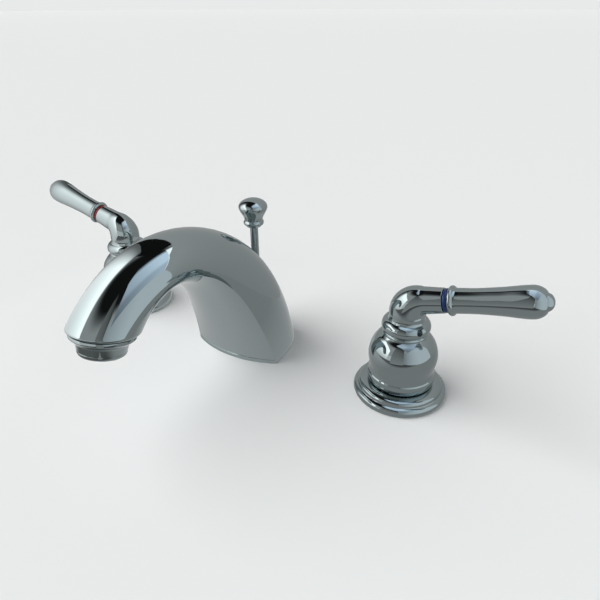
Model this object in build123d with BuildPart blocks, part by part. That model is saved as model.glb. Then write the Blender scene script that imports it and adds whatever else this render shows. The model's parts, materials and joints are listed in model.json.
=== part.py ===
from build123d import *
import os
from math import cos, radians, sin

os.makedirs("parts", exist_ok=True)

# Layout on the deck. X runs from the hot side to the cold side, the user stands at -Y, the deck is at Z = 0.
handle_spread = 203.2  # hot stem to cold stem, eight inches
deck_thickness = 19.0
fit_gap = 0.03  # radial clearance of threads and spigots inside one body
turn_gap = 0.05  # radial clearance where a stem turns in its bore
hub_gap = 0.5  # running gap between a handle hub and its escutcheon

# Spout shell: side profile in the plane X = 0, and the rules for its cross-sections
foot_front = 21.9  # ahead of the handle line
foot_back = 27.0  # behind the handle line
foot_half_width = 29.3
foot_rim = 2.3  # upright band at the deck
mouth_reach = 106.4
mouth_height = 65.9
mouth_radius = 16.0
mouth_tilt = 16.5  # outlet axis, forward of straight down
mouth_rounding = 1.5
nose_lean = 44.0  # how both profile lines arrive at the mouth, from upright
top_rise = 1.2215 * mouth_height  # handle lengths of the two profile lines
top_rise_lean = 6.3
top_pull = 0.72 * mouth_reach
belly_rise = 1.047 * mouth_height
belly_rise_lean = 17.6
belly_pull = 0.3318 * mouth_reach
corner_share = 0.14  # height of the ridge in the section's depth, at the foot
corner_climb = 2.1
width_taper = 1.5
foot_fullness = 0.71
round_fullness = 0.5523
section_count = 9
spout_wall = 3.0
cavity_end = 0.87  # part of the way to the mouth

# Spout foot and what passes through the deck there
base_plate_thickness = 4.8
base_gasket_thickness = 1.2
base_margin = 0.1
shank_setback = -6.0  # shank axis from the handle line
spout_shank_radius = 8.57  # 3/8 pipe thread
shank_lead = 0.8  # chamfer that starts the thread
spout_shank_bore = 5.5
spout_shank_length = 54.0
rod_setback = 9.8  # lift rod axis from the handle line
rod_radius = 2.38  # 3/16 in rod
rod_hole_radius = 2.75
rod_boss_radius = 4.6
rod_top = 84.0
rod_length = 196.0
guide_radius = 4.2
guide_lip_radius = 6.0

# Lift knob, heights above the rod's shoulder
knob_seat = 74.4
knob_radius = 8.4
knob_crown = 16.8
knob_equator = 12.0
knob_waist = 5.3
knob_bead = 6.0
knob_neck = 4.4
knob_foot_radius = 4.7
knob_foot_height = 0.7
knob_bead_height = 2.3
knob_waist_height = 3.9
knob_flare_height = 5.6
knob_flare = 0.4  # radius gained over the waist by then

# Aerator, measured along the outlet axis from the mouth face
aerator_thread_radius = 11.8
aerator_thread_length = 4.8
aerator_bore_depth = 6.0
aerator_groove = 0.6
aerator_collar_radius = 14.3
aerator_collar_height = 1.5
aerator_cup_radius = 11.4
aerator_slope = 2.6  # height of the slope from the collar to the cup
aerator_slope_foot = 0.4
aerator_cup_end = 10.4
aerator_cup_waist = 11.2
aerator_cup_rounding = 1.6
aerator_lip_radius = 9.4
aerator_wall = 1.6
aerator_insert_length = 8.0
aerator_insert_wall = 1.4
aerator_jet_radius = 0.9
aerator_screen_recess = 2.6
aerator_washer_thickness = 1.2
water_passage_radius = 6.0
water_passage_length = 18.0
water_passage_lean = 55.0

# Washers and nuts under the deck
spout_washer_radius = 17.0
valve_washer_radius = 19.5
rubber_washer_thickness = 2.5
steel_washer_thickness = 1.2
spout_nut_flats = 21.0
valve_nut_flats = 34.0
nut_height = 7.0
washer_clearance = 0.25
rod_slot_radius = 3.6

# Hose tee under the spout
tee_radius = 11.0
tee_height = 20.0
tee_grip = 9.0  # thread length inside the tee
tee_shoulder_radius = 8.2
tee_shoulder_reach = 13.0
hose_nipple_radius = 7.14  # 9/16 in thread
hose_nipple_bore = 4.6
hose_nipple_reach = 25.0

# Escutcheon of each handle
escutcheon_radius = 25.5
escutcheon_step_radius = 22.9
escutcheon_step_height = 4.7
escutcheon_height = 7.9
escutcheon_shoulder_radius = 18.2
escutcheon_hole_radius = 15.2
escutcheon_wall = 2.2
escutcheon_foot_rounding = 0.8
escutcheon_edge = 0.3  # soft corners at its step
escutcheon_dome = 1.8
escutcheon_pad_height = 1.0

# Handle hub, radii and heights
hub_foot_radius = 17.3
hub_bead_radius = 18.4
hub_bead_height = 12.8
hub_bead_top = 14.0
hub_groove_height = 14.7
hub_groove_radius = 17.9
hub_waist_radius = 17.5
hub_waist_height = 17.2
ball_radius = 18.5
ball_height = 25.8
ball_half_height = 15.0
ball_turn_height = 33.0
ball_top_height = 37.0
shoulder_radius = 12.6
neck_ring_radius = 12.1
neck_groove_radius = 11.5
neck_groove_height = 37.9
neck_height = 39.9
collar_radius = 12.85
collar_start_height = 40.4
collar_height = 42.5
collar_top_height = 46.7
collar_cove = 0.5
neck_radius = 9.5
hub_wall = 3.4
hub_cavity_height = 21.0
socket_wall = 4.5
socket_start = 28.0
socket_top = 47.4

# Lever
lever_height = 57.4  # lever axis over the deck, on the stem axis
lever_rise = 15.05
lever_toe_in = 0.3
bend_start_height = 50.0
bend_end = 8.0  # distances along the lever axis, from here to the lever's tip
bend_sections = 5
elbow_radius = 7.05
elbow_end_radius = 6.4
index_start = 18.7
index_width = 2.4
index_radius = 6.15
index_rounding = 0.4
bead_peak = 22.6
bead_half_width = 1.3
bead_radius = 7.55
bead_foot_radius = 6.6
grip_start = 24.8
grip_start_radius = 6.34
grip_slim_radius = 6.24
grip_slim = 33.0
grip_fat_radius = 7.88
grip_fat = 59.0
grip_end = 65.1
button_radius = 4.3
button_step = 0.3
lever_tip = 68.0
stud_radius = 3.6
stud_length = 12.0

# Set screw that locks the handle on its stem
screw_radius = 1.6
screw_length = 5.2
screw_height = 44.4
screw_azimuth = -37.0  # from the lever
screw_socket_flats = 1.5
screw_socket_depth = 2.0

# Valve and cartridge
valve_shank_radius = 13.2  # 3/4 pipe thread
valve_shank_top = 5.0
valve_body_radius = 15.5
valve_body_drop = 46.0
valve_body_height = 21.0
outlet_shoulder_radius = 8.6
outlet_shoulder_reach = 16.5  # from the stem axis
outlet_reach = 29.5
inlet_radius = 10.48  # 1/2 pipe thread
inlet_bore = 6.4
inlet_length = 22.0
ring_nut_radius = 18.4
ring_nut_height = 3.6
ring_washer_thickness = 0.8
cartridge_radius = 9.2
cartridge_drop = 50.0
cartridge_head_flats = 20.0
cartridge_head_height = 6.5
cartridge_wall = 1.5
stem_radius = 4.5
spline_radius = 4.0
spline_length = 18.6
spline_teeth = 20
spline_relief = 1.0  # plain length below the teeth
stem_foot_radius = 7.4
stem_foot_height = 3.0
disc_thickness = 3.2
disc_radius = 7.5
port_radius = 2.2
port_offset = 3.9
seat_seal_thickness = 2.2
oring_section = 1.6
oring_drop = 6.0
disc_film = 0.05
clip_gap = 0.3
clip_thickness = 0.9
clip_radius = 6.6


def lean(angle):
    """Direction in the side profile, as an angle behind upright."""
    return Vector(0, sin(radians(angle)), cos(radians(angle)))


mouth_centre = Vector(0, -mouth_reach, mouth_height)
mouth_axis = -lean(mouth_tilt)  # the way the water leaves
mouth_front = mouth_centre + Vector(0, -cos(radians(mouth_tilt)), sin(radians(mouth_tilt))) * mouth_radius
mouth_back = mouth_centre * 2 - mouth_front
top_start = Vector(0, foot_back, foot_rim)
belly_start = Vector(0, -foot_front, foot_rim)
top_line = Bezier(
    top_start,
    top_start + lean(-top_rise_lean) * top_rise,
    mouth_front + lean(nose_lean) * top_pull,
    mouth_front,
)
belly_line = Bezier(
    belly_start,
    belly_start + lean(-belly_rise_lean) * belly_rise,
    mouth_back + lean(nose_lean) * belly_pull,
    mouth_back,
)


def ridge_share(along):
    return corner_share + (0.5 - corner_share) * along**corner_climb


def spout_plane(along):
    """Plane of the cross-section this far along the spout, with its origin between the two ridges."""
    depth = top_line @ along - belly_line @ along
    ridge = belly_line @ along + depth * ridge_share(along)
    return Plane(origin=ridge, x_dir=(1, 0, 0), z_dir=Vector(1, 0, 0).cross(depth))


def spout_outline(along, wall=0.0):
    """Face of one cross-section: a full back and a shallow belly that meet in a ridge on each side."""
    depth = (top_line @ along - belly_line @ along).length
    half = mouth_radius + (foot_half_width - mouth_radius) * (1 - along) ** width_taper - wall
    back = depth * (1 - ridge_share(along)) - wall
    belly = depth * ridge_share(along) - wall
    full = foot_fullness + (round_fullness - foot_fullness) * along
    with BuildLine() as outline:
        Bezier((half, 0), (half, full * back), (full * half, back), (0, back))
        Bezier((0, back), (-full * half, back), (-half, full * back), (-half, 0))
        ThreePointArc((-half, 0), (0, -belly), (half, 0))
    make_face(outline.edges())


def stations(last):
    return [last * step / (section_count - 1) for step in range(section_count)]


foot_plane = spout_plane(0)
foot_floor = Plane(origin=(0, foot_plane.origin.Y, 0))
plate_top = base_gasket_thickness + base_plate_thickness
mouth_plane = Plane(origin=mouth_centre, x_dir=(1, 0, 0), z_dir=mouth_axis)
mouth_side = Plane(origin=mouth_centre, x_dir=mouth_front - mouth_centre, z_dir=(-1, 0, 0))
outlet = Axis(mouth_centre, mouth_axis)
passage_plane = Plane(
    origin=mouth_centre - mouth_axis * (aerator_bore_depth / 2),
    x_dir=(1, 0, 0),
    z_dir=lean(water_passage_lean),
)
shank_spot = (0, shank_setback)
rod_spot = (0, rod_setback)
under_deck = -deck_thickness

# Solid form of the spout, used again to trim the boss round the lift rod
with BuildPart() as spout_form:
    for along in stations(1.0):
        with BuildSketch(spout_plane(along)):
            spout_outline(along)
    loft()
    with BuildSketch(foot_floor):
        spout_outline(0)
    extrude(amount=foot_rim)
    fillet(
        spout_form.edges().filter_by(lambda e: abs((e.center() - mouth_centre).dot(mouth_axis)) < 0.05),
        radius=mouth_rounding,
    )

with BuildPart() as spout_core:
    for along in stations(cavity_end):
        with BuildSketch(spout_plane(along)):
            spout_outline(along, wall=spout_wall)
    loft()
    with BuildSketch(foot_floor):
        spout_outline(0, wall=spout_wall)
    extrude(amount=plate_top)

with BuildPart() as rod_boss:
    with BuildSketch(Plane.XY.offset(plate_top)):
        with Locations(rod_spot):
            Circle(rod_boss_radius)
    extrude(amount=mouth_height)
    add(spout_form.part, mode=Mode.INTERSECT)

with BuildPart() as spout_body:
    add(spout_form.part)
    add(spout_core.part, mode=Mode.SUBTRACT)
    add(rod_boss.part)
    with BuildSketch(Plane.XY):
        with Locations(rod_spot):
            Circle(rod_hole_radius)
    extrude(amount=2 * mouth_height, mode=Mode.SUBTRACT)
    with BuildSketch(mouth_plane):
        Circle(aerator_thread_radius + fit_gap)
    extrude(amount=-aerator_bore_depth, mode=Mode.SUBTRACT)
    with BuildSketch(passage_plane):
        Circle(water_passage_radius)
    extrude(amount=water_passage_length, mode=Mode.SUBTRACT)
spout_body.part.label = "spout_body"
export_step(spout_body.part, "parts/spout_body.step")

with BuildPart() as base_gasket:
    with BuildSketch(foot_floor):
        spout_outline(0, wall=spout_wall + base_margin)
    extrude(amount=base_gasket_thickness)
    with BuildSketch(Plane.XY):
        with Locations(shank_spot):
            Circle(spout_shank_radius + washer_clearance)
        with Locations(rod_spot):
            Circle(guide_lip_radius + washer_clearance)
    extrude(amount=base_gasket_thickness, mode=Mode.SUBTRACT)
base_gasket.part.label = "spout_base_gasket"
export_step(base_gasket.part, "parts/spout_base_gasket.step")

with BuildPart() as base_plate:
    with BuildSketch(Plane(origin=foot_floor.origin + (0, 0, base_gasket_thickness))):
        spout_outline(0, wall=spout_wall + base_margin)
    extrude(amount=base_plate_thickness)
    with BuildSketch(Plane.XY.offset(base_gasket_thickness)):
        with Locations(shank_spot):
            Circle(spout_shank_radius + fit_gap)
        with Locations(rod_spot):
            Circle(guide_radius + fit_gap)
    extrude(amount=base_plate_thickness, mode=Mode.SUBTRACT)
base_plate.part.label = "spout_base_plate"
export_step(base_plate.part, "parts/spout_base_plate.step")

with BuildPart() as rod_guide:
    with BuildSketch(Plane.XY):
        with Locations(rod_spot):
            Circle(guide_lip_radius)
    extrude(amount=base_gasket_thickness)
    with BuildSketch(Plane.XY.offset(base_gasket_thickness)):
        with Locations(rod_spot):
            Circle(guide_radius)
    extrude(amount=base_plate_thickness)
    with BuildSketch(Plane.XY):
        with Locations(rod_spot):
            Circle(rod_radius + turn_gap)
    extrude(amount=plate_top, mode=Mode.SUBTRACT)
rod_guide.part.label = "lift_rod_guide"
export_step(rod_guide.part, "parts/lift_rod_guide.step")

shank_bottom = plate_top - spout_shank_length

with BuildPart() as spout_shank:
    with BuildSketch(Plane.XY.offset(shank_bottom)):
        with Locations(shank_spot):
            Circle(spout_shank_radius)
            Circle(spout_shank_bore, mode=Mode.SUBTRACT)
    extrude(amount=spout_shank_length)
    chamfer(spout_shank.faces().sort_by(Axis.Z)[0].edges().sort_by(SortBy.RADIUS)[-1], shank_lead)
spout_shank.part.label = "spout_shank"
export_step(spout_shank.part, "parts/spout_shank.step")


def washer(spot, z, outer, inner, thickness):
    """Flat washer whose top face lies at this height."""
    with BuildPart() as ring:
        with BuildSketch(Plane.XY.offset(z - thickness)):
            with Locations(spot):
                Circle(outer)
                Circle(inner, mode=Mode.SUBTRACT)
        extrude(amount=thickness)
    return ring.part


def hex_nut(spot, z, flats, bore, height):
    """Hexagon nut with its corners turned off at both ends, top face at this height."""
    corner = flats / 2 / cos(radians(30))
    with BuildPart() as nut:
        with BuildSketch(Plane.XY.offset(z - height)):
            with Locations(spot):
                RegularPolygon(flats / 2, 6, major_radius=False)
                Circle(bore, mode=Mode.SUBTRACT)
        extrude(amount=height)
        with BuildSketch(Plane(origin=(spot[0], spot[1], z), x_dir=(1, 0, 0), z_dir=(0, -1, 0))):
            with BuildLine():
                Polyline(
                    (0, 0),
                    (flats / 2, 0),
                    (corner + 0.1, 0.6 * (flats / 2 - corner)),
                    (corner + 0.1, 0.6 * (corner - flats / 2) - height),
                    (flats / 2, -height),
                    (0, -height),
                    close=True,
                )
            make_face()
        revolve(axis=Axis((spot[0], spot[1], 0), (0, 0, 1)), mode=Mode.INTERSECT)
    return nut.part


rubber_z = under_deck
steel_z = rubber_z - rubber_washer_thickness
nut_z = steel_z - steel_washer_thickness
spout_washer_bore = spout_shank_radius + washer_clearance
valve_washer_bore = valve_shank_radius + washer_clearance

with BuildPart() as spout_rubber:
    add(washer(shank_spot, rubber_z, spout_washer_radius, spout_washer_bore, rubber_washer_thickness))
    with BuildSketch(Plane.XY.offset(steel_z)):
        with Locations(rod_spot):
            Circle(rod_slot_radius)
            Rectangle(2 * rod_slot_radius, 2 * rod_slot_radius, align=(Align.CENTER, Align.MIN))
    extrude(amount=rubber_washer_thickness, mode=Mode.SUBTRACT)
spout_rubber.part.label = "spout_rubber_washer"
export_step(spout_rubber.part, "parts/spout_rubber_washer.step")

with BuildPart() as spout_steel:
    add(washer(shank_spot, steel_z, spout_washer_radius, spout_washer_bore, steel_washer_thickness))
    with BuildSketch(Plane.XY.offset(nut_z)):
        with Locations(rod_spot):
            Circle(rod_slot_radius)
            Rectangle(2 * rod_slot_radius, 2 * rod_slot_radius, align=(Align.CENTER, Align.MIN))
    extrude(amount=steel_washer_thickness, mode=Mode.SUBTRACT)
spout_steel.part.label = "spout_steel_washer"
export_step(spout_steel.part, "parts/spout_steel_washer.step")

with BuildPart() as spout_nut:
    add(hex_nut(shank_spot, nut_z, spout_nut_flats, spout_shank_radius + fit_gap, nut_height))
spout_nut.part.label = "spout_locknut"
export_step(spout_nut.part, "parts/spout_locknut.step")

tee_top = shank_bottom + tee_grip
tee_axis_z = tee_top - tee_height + hose_nipple_radius + 1.5
tee_run = Plane(origin=(0, shank_setback, tee_axis_z), x_dir=(0, 1, 0), z_dir=(1, 0, 0))

with BuildPart() as hose_tee:
    with BuildSketch(Plane.XY.offset(tee_top - tee_height)):
        with Locations(shank_spot):
            Circle(tee_radius)
    extrude(amount=tee_height)
    with BuildSketch(tee_run):
        Circle(hose_nipple_radius)
    extrude(amount=hose_nipple_reach, both=True)
    with BuildSketch(tee_run):
        Circle(tee_shoulder_radius)
    extrude(amount=tee_shoulder_reach, both=True)
    with BuildSketch(Plane.XY.offset(tee_top)):
        with Locations(shank_spot):
            Circle(spout_shank_radius + fit_gap)
    extrude(amount=-tee_grip, mode=Mode.SUBTRACT)
    with BuildSketch(Plane.XY.offset(shank_bottom)):
        with Locations(shank_spot):
            Circle(spout_shank_bore)
    extrude(amount=tee_axis_z - shank_bottom, mode=Mode.SUBTRACT)
    with BuildSketch(tee_run):
        Circle(hose_nipple_bore)
    extrude(amount=hose_nipple_reach, both=True, mode=Mode.SUBTRACT)
hose_tee.part.label = "hose_tee"
export_step(hose_tee.part, "parts/hose_tee.step")

# Lift rod and its knob
with BuildPart() as lift_rod:
    with BuildSketch(Plane.XY.offset(rod_top - rod_length)):
        with Locations(rod_spot):
            Circle(rod_radius)
    extrude(amount=rod_length)
    chamfer(lift_rod.edges().filter_by(GeomType.CIRCLE), 0.5)
lift_rod.part.label = "lift_rod"
export_step(lift_rod.part, "parts/lift_rod.step")

with BuildPart() as lift_knob:
    with BuildSketch(Plane(origin=(0, rod_setback, knob_seat), x_dir=(1, 0, 0), z_dir=(0, -1, 0))):
        with BuildLine():
            Polyline((0, 0), (knob_neck, 0), (knob_foot_radius, knob_foot_height))
            ThreePointArc(
                (knob_foot_radius, knob_foot_height),
                (knob_bead, knob_bead_height),
                (knob_waist, knob_waist_height),
            )
            Spline(
                (knob_waist, knob_waist_height),
                (knob_waist + knob_flare, knob_flare_height),
                (knob_radius, knob_equator),
                tangents=[(0, 1), (0, 1)],
            )
            Bezier(
                (knob_radius, knob_equator),
                (knob_radius, knob_equator + round_fullness * (knob_crown - knob_equator)),
                (round_fullness * knob_radius, knob_crown),
                (0, knob_crown),
            )
            Line((0, knob_crown), (0, 0))
        make_face()
    revolve(axis=Axis((0, rod_setback, 0), (0, 0, 1)))
    with BuildSketch(Plane.XY.offset(knob_seat)):
        with Locations(rod_spot):
            Circle(rod_radius + fit_gap)
    extrude(amount=rod_top - knob_seat, mode=Mode.SUBTRACT)
lift_knob.part.label = "lift_knob"
export_step(lift_knob.part, "parts/lift_knob.step")

# Aerator: a threaded cup under the mouth, its jet insert, and the washer it squeezes against the spout
cup_top = -aerator_groove - aerator_collar_height - aerator_slope
with BuildPart() as aerator_housing:
    with BuildSketch(mouth_side):
        with BuildLine():
            Polyline(
                (aerator_thread_radius - aerator_wall, aerator_thread_length),
                (aerator_thread_radius, aerator_thread_length),
                (aerator_thread_radius, -aerator_groove),
                (aerator_collar_radius, -aerator_groove),
                (aerator_collar_radius, -aerator_groove - aerator_collar_height),
                (aerator_cup_radius + aerator_slope_foot, cup_top + aerator_slope_foot),
                (aerator_cup_radius, cup_top),
                (aerator_cup_waist, aerator_cup_rounding - aerator_cup_end),
            )
            ThreePointArc(
                (aerator_cup_waist, aerator_cup_rounding - aerator_cup_end),
                (0.75 * aerator_cup_waist + 0.25 * aerator_lip_radius, 0.28 * aerator_cup_rounding - aerator_cup_end),
                (aerator_lip_radius, -aerator_cup_end),
            )
            Polyline(
                (aerator_lip_radius, -aerator_cup_end),
                (aerator_lip_radius - aerator_wall / 2, -aerator_cup_end),
                (aerator_lip_radius - aerator_wall / 2, aerator_screen_recess - aerator_cup_end),
                (aerator_thread_radius - aerator_wall, aerator_screen_recess - aerator_cup_end),
                (aerator_thread_radius - aerator_wall, aerator_thread_length),
            )
        make_face()
    revolve(axis=outlet)
aerator_housing.part.label = "aerator_housing"
export_step(aerator_housing.part, "parts/aerator_housing.step")

insert_radius = aerator_thread_radius - aerator_wall - fit_gap
insert_bottom = aerator_cup_end - aerator_screen_recess

with BuildPart() as aerator_insert:
    with BuildSketch(mouth_plane.offset(insert_bottom)):
        Circle(insert_radius)
    extrude(amount=-aerator_insert_length)
    with BuildSketch(mouth_plane.offset(insert_bottom - aerator_insert_length)):
        Circle(insert_radius - aerator_insert_wall)
    extrude(amount=aerator_insert_length / 2, mode=Mode.SUBTRACT)
    for ring, holes in ((insert_radius * 0.36, 6), (insert_radius * 0.72, 12)):
        with BuildSketch(mouth_plane.offset(insert_bottom)):
            with PolarLocations(ring, holes):
                Circle(aerator_jet_radius)
        extrude(amount=-aerator_insert_length, mode=Mode.SUBTRACT)
aerator_insert.part.label = "aerator_insert"
export_step(aerator_insert.part, "parts/aerator_insert.step")

with BuildPart() as aerator_washer:
    with BuildSketch(mouth_plane.offset(-aerator_thread_length)):
        Circle(aerator_thread_radius - 0.2)
        Circle(water_passage_radius + 0.6, mode=Mode.SUBTRACT)
    extrude(amount=-aerator_washer_thickness)
aerator_washer.part.label = "aerator_washer"
export_step(aerator_washer.part, "parts/aerator_washer.step")


def ellipse_radius(z):
    """Radius of the ball of the hub at this height."""
    return ball_radius * (1 - ((z - ball_height) / ball_half_height) ** 2) ** 0.5


# The two handles and valves are the same parts, each turned so that its lever points outwards
for side, name in ((-1, "hot"), (1, "cold")):
    x = side * handle_spread / 2
    spot = (x, 0)
    stem_axis = Axis((x, 0, 0), (0, 0, 1))
    half_plane = Plane(origin=(x, 0, 0), x_dir=(1, 0, 0), z_dir=(0, -1, 0))
    outward = Vector(side * cos(radians(lever_toe_in)), -sin(radians(lever_toe_in)), 0)
    hub_plane = Plane(origin=(x, 0, 0), x_dir=outward, z_dir=(0, 0, 1))
    lever_direction = outward * cos(radians(lever_rise)) + Vector(0, 0, sin(radians(lever_rise)))
    lever_origin = Vector(x, 0, lever_height)
    lever_axis = Axis(lever_origin, lever_direction)
    lever_side = Plane(origin=lever_origin, x_dir=lever_direction, z_dir=hub_plane.y_dir * -1)
    lever_end_on = Plane(origin=lever_origin, x_dir=hub_plane.y_dir, z_dir=lever_direction)

    escutcheon_foot = escutcheon_radius - escutcheon_foot_rounding
    escutcheon_inside = escutcheon_foot - escutcheon_wall
    with BuildPart() as escutcheon:
        with BuildSketch(half_plane):
            with BuildLine():
                Line((escutcheon_inside, 0), (escutcheon_foot, 0))
                ThreePointArc(
                    (escutcheon_foot, 0),
                    (escutcheon_radius, escutcheon_step_height * 0.5),
                    (escutcheon_step_radius + escutcheon_edge, escutcheon_step_height),
                )
                Line(
                    (escutcheon_step_radius + escutcheon_edge, escutcheon_step_height),
                    (escutcheon_step_radius, escutcheon_step_height + escutcheon_edge),
                )
                Bezier(
                    (escutcheon_step_radius, escutcheon_step_height + escutcheon_edge),
                    (escutcheon_step_radius, escutcheon_height - 2 * escutcheon_edge),
                    (escutcheon_step_radius - escutcheon_dome, escutcheon_height),
                    (escutcheon_shoulder_radius, escutcheon_height),
                )
                Polyline(
                    (escutcheon_shoulder_radius, escutcheon_height),
                    (escutcheon_hole_radius, escutcheon_height),
                    (escutcheon_hole_radius, escutcheon_height - escutcheon_wall),
                    (escutcheon_step_radius - escutcheon_wall, escutcheon_height - escutcheon_wall),
                    (escutcheon_inside, escutcheon_step_height - escutcheon_wall),
                    (escutcheon_inside, 0),
                )
            make_face()
        revolve(axis=stem_axis)
    escutcheon.part.label = f"{name}_escutcheon"
    export_step(escutcheon.part, f"parts/{name}_escutcheon.step")

    with BuildPart() as escutcheon_pad:
        pad_radius = escutcheon_inside - base_margin
        add(washer(spot, escutcheon_pad_height, pad_radius, ring_nut_radius + washer_clearance, escutcheon_pad_height))
    escutcheon_pad.part.label = f"{name}_escutcheon_pad"
    export_step(escutcheon_pad.part, f"parts/{name}_escutcheon_pad.step")

    hub_foot = escutcheon_height + hub_gap
    bend_end_centre = lever_origin + lever_direction * bend_end
    lever_up = Vector(0, 0, cos(radians(lever_rise))) - outward * sin(radians(lever_rise))
    fan_reach = (bend_end_centre.Z - bend_start_height) / cos(radians(lever_rise))
    fan_centre = bend_end_centre - lever_up * fan_reach
    fan_start = (fan_centre - Vector(x, 0, bend_start_height)).length
    with BuildPart() as handle_hub:
        with BuildSketch(half_plane):
            with BuildLine():
                Line((0, hub_foot), (hub_foot_radius, hub_foot))
                Bezier(
                    (hub_foot_radius, hub_foot),
                    (hub_bead_radius, hub_foot + hub_gap),
                    (hub_bead_radius, hub_bead_height),
                    (hub_bead_radius, hub_bead_top),
                )
                Polyline(
                    (hub_bead_radius, hub_bead_top),
                    (hub_groove_radius, hub_groove_height),
                    (hub_waist_radius, hub_waist_height),
                )
                Spline(
                    (hub_waist_radius, hub_waist_height),
                    (ball_radius, ball_height),
                    (ellipse_radius(ball_turn_height), ball_turn_height),
                    (shoulder_radius, ball_top_height),
                    tangents=[(0.1, 1), (-1, 0.55)],
                )
                Line((shoulder_radius, ball_top_height), (neck_groove_radius, neck_groove_height))
                ThreePointArc(
                    (neck_groove_radius, neck_groove_height),
                    (neck_ring_radius, 0.5 * (neck_groove_height + neck_height)),
                    (neck_groove_radius, neck_height),
                )
                Line((neck_groove_radius, neck_height), (neck_ring_radius, collar_start_height))
                ThreePointArc(
                    (neck_ring_radius, collar_start_height),
                    (collar_radius, collar_height),
                    (neck_radius + collar_cove, collar_top_height),
                )
                ThreePointArc(
                    (neck_radius + collar_cove, collar_top_height),
                    (neck_radius + 0.3 * collar_cove, 0.75 * collar_top_height + 0.25 * bend_start_height),
                    (neck_radius, bend_start_height),
                )
                Polyline((neck_radius, bend_start_height), (0, bend_start_height), (0, hub_foot))
            make_face()
        revolve(axis=stem_axis)
        # The bend is round sections fanned about a line near the crotch, slimmer towards the lever
        for step in range(bend_sections):
            share = step / (bend_sections - 1)
            turn = radians(share * (90 - lever_rise))
            slimming = neck_radius - elbow_radius
            radius = elbow_radius + slimming * cos(radians(90 * share))
            crotch = (fan_start - neck_radius) * (1 - share) + (fan_reach - elbow_radius) * share
            spoke = Vector(0, 0, sin(turn)) - outward * cos(turn)
            forward = Vector(0, 0, cos(turn)) + outward * sin(turn)
            with BuildSketch(Plane(fan_centre + spoke * (crotch + radius), hub_plane.y_dir, forward)):
                Circle(radius)
        loft()
        with BuildSketch(lever_side):
            with BuildLine():
                Polyline(
                    (bend_end, 0),
                    (bend_end, elbow_radius),
                    (index_start, elbow_end_radius),
                    (index_start, stud_radius),
                    (index_start + stud_length, stud_radius),
                    (index_start + stud_length, 0),
                    close=True,
                )
            make_face()
        revolve(axis=lever_axis)
        # Hollow under the ball, the splined socket and the tapped hole of the set screw
        with BuildSketch(half_plane):
            with BuildLine():
                Polyline(
                    (0, hub_foot),
                    (hub_foot_radius - hub_wall, hub_foot),
                    (hub_foot_radius - hub_wall, hub_cavity_height),
                    (spline_radius + socket_wall, socket_start),
                    (spline_radius + fit_gap, socket_start),
                    (spline_radius + fit_gap, socket_top),
                    (0, socket_top),
                    close=True,
                )
            make_face()
        revolve(axis=stem_axis, mode=Mode.SUBTRACT)
        screw_plane = Plane(
            origin=(x, 0, screw_height),
            x_dir=(0, 0, 1),
            z_dir=outward.rotate(Axis.Z, screw_azimuth),
        )
        with BuildSketch(screw_plane):
            Circle(screw_radius + fit_gap)
        extrude(amount=collar_radius + 2, mode=Mode.SUBTRACT)
    handle_hub.part.label = f"{name}_handle_hub"
    export_step(handle_hub.part, f"parts/{name}_handle_hub.step")

    with BuildPart() as set_screw:
        with BuildSketch(screw_plane.offset(spline_radius + fit_gap)):
            Circle(screw_radius)
        extrude(amount=screw_length)
        with BuildSketch(screw_plane.offset(spline_radius + fit_gap + screw_length)):
            RegularPolygon(screw_socket_flats / 2, 6, major_radius=False)
        extrude(amount=-screw_socket_depth, mode=Mode.SUBTRACT)
    set_screw.part.label = f"{name}_set_screw"
    export_step(set_screw.part, f"parts/{name}_set_screw.step")

    with BuildPart() as index_ring:
        with BuildSketch(lever_end_on.offset(index_start)):
            Circle(index_radius)
            Circle(stud_radius + fit_gap, mode=Mode.SUBTRACT)
        extrude(amount=index_width)
        fillet(index_ring.edges().filter_by(GeomType.CIRCLE).group_by(SortBy.RADIUS)[-1], index_rounding)
    index_ring.part.label = f"{name}_index_ring"
    export_step(index_ring.part, f"parts/{name}_index_ring.step")

    lever_start = index_start + index_width
    with BuildPart() as lever:
        with BuildSketch(lever_side):
            with BuildLine():
                Polyline(
                    (lever_start, 0),
                    (lever_start, elbow_end_radius),
                    (bead_peak - bead_half_width, bead_foot_radius),
                )
                ThreePointArc(
                    (bead_peak - bead_half_width, bead_foot_radius),
                    (bead_peak, bead_radius),
                    (bead_peak + bead_half_width, bead_foot_radius),
                )
                Line((bead_peak + bead_half_width, bead_foot_radius), (grip_start, grip_start_radius))
                Spline(
                    (grip_start, grip_start_radius),
                    (grip_slim, grip_slim_radius),
                    (0.5 * (grip_slim + grip_fat), 0.62 * grip_slim_radius + 0.38 * grip_fat_radius),
                    (grip_fat, grip_fat_radius),
                    tangents=[(1, -0.02), (1, 0)],
                )
                Spline(
                    (grip_fat, grip_fat_radius),
                    (grip_end, button_radius + button_step),
                    tangents=[(1, 0), (0.45, -1)],
                )
                Line((grip_end, button_radius + button_step), (grip_end + 0.5 * button_step, button_radius))
                Bezier(
                    (grip_end + 0.5 * button_step, button_radius),
                    (0.5 * (grip_end + lever_tip), 0.9 * button_radius),
                    (lever_tip, 0.6 * button_radius),
                    (lever_tip, 0),
                )
                Line((lever_tip, 0), (lever_start, 0))
            make_face()
        revolve(axis=lever_axis)
        with BuildSketch(lever_end_on.offset(lever_start)):
            Circle(stud_radius + fit_gap)
        extrude(amount=stud_length - index_width + clip_gap, mode=Mode.SUBTRACT)
    lever.part.label = f"{name}_lever_grip"
    export_step(lever.part, f"parts/{name}_lever_grip.step")

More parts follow.
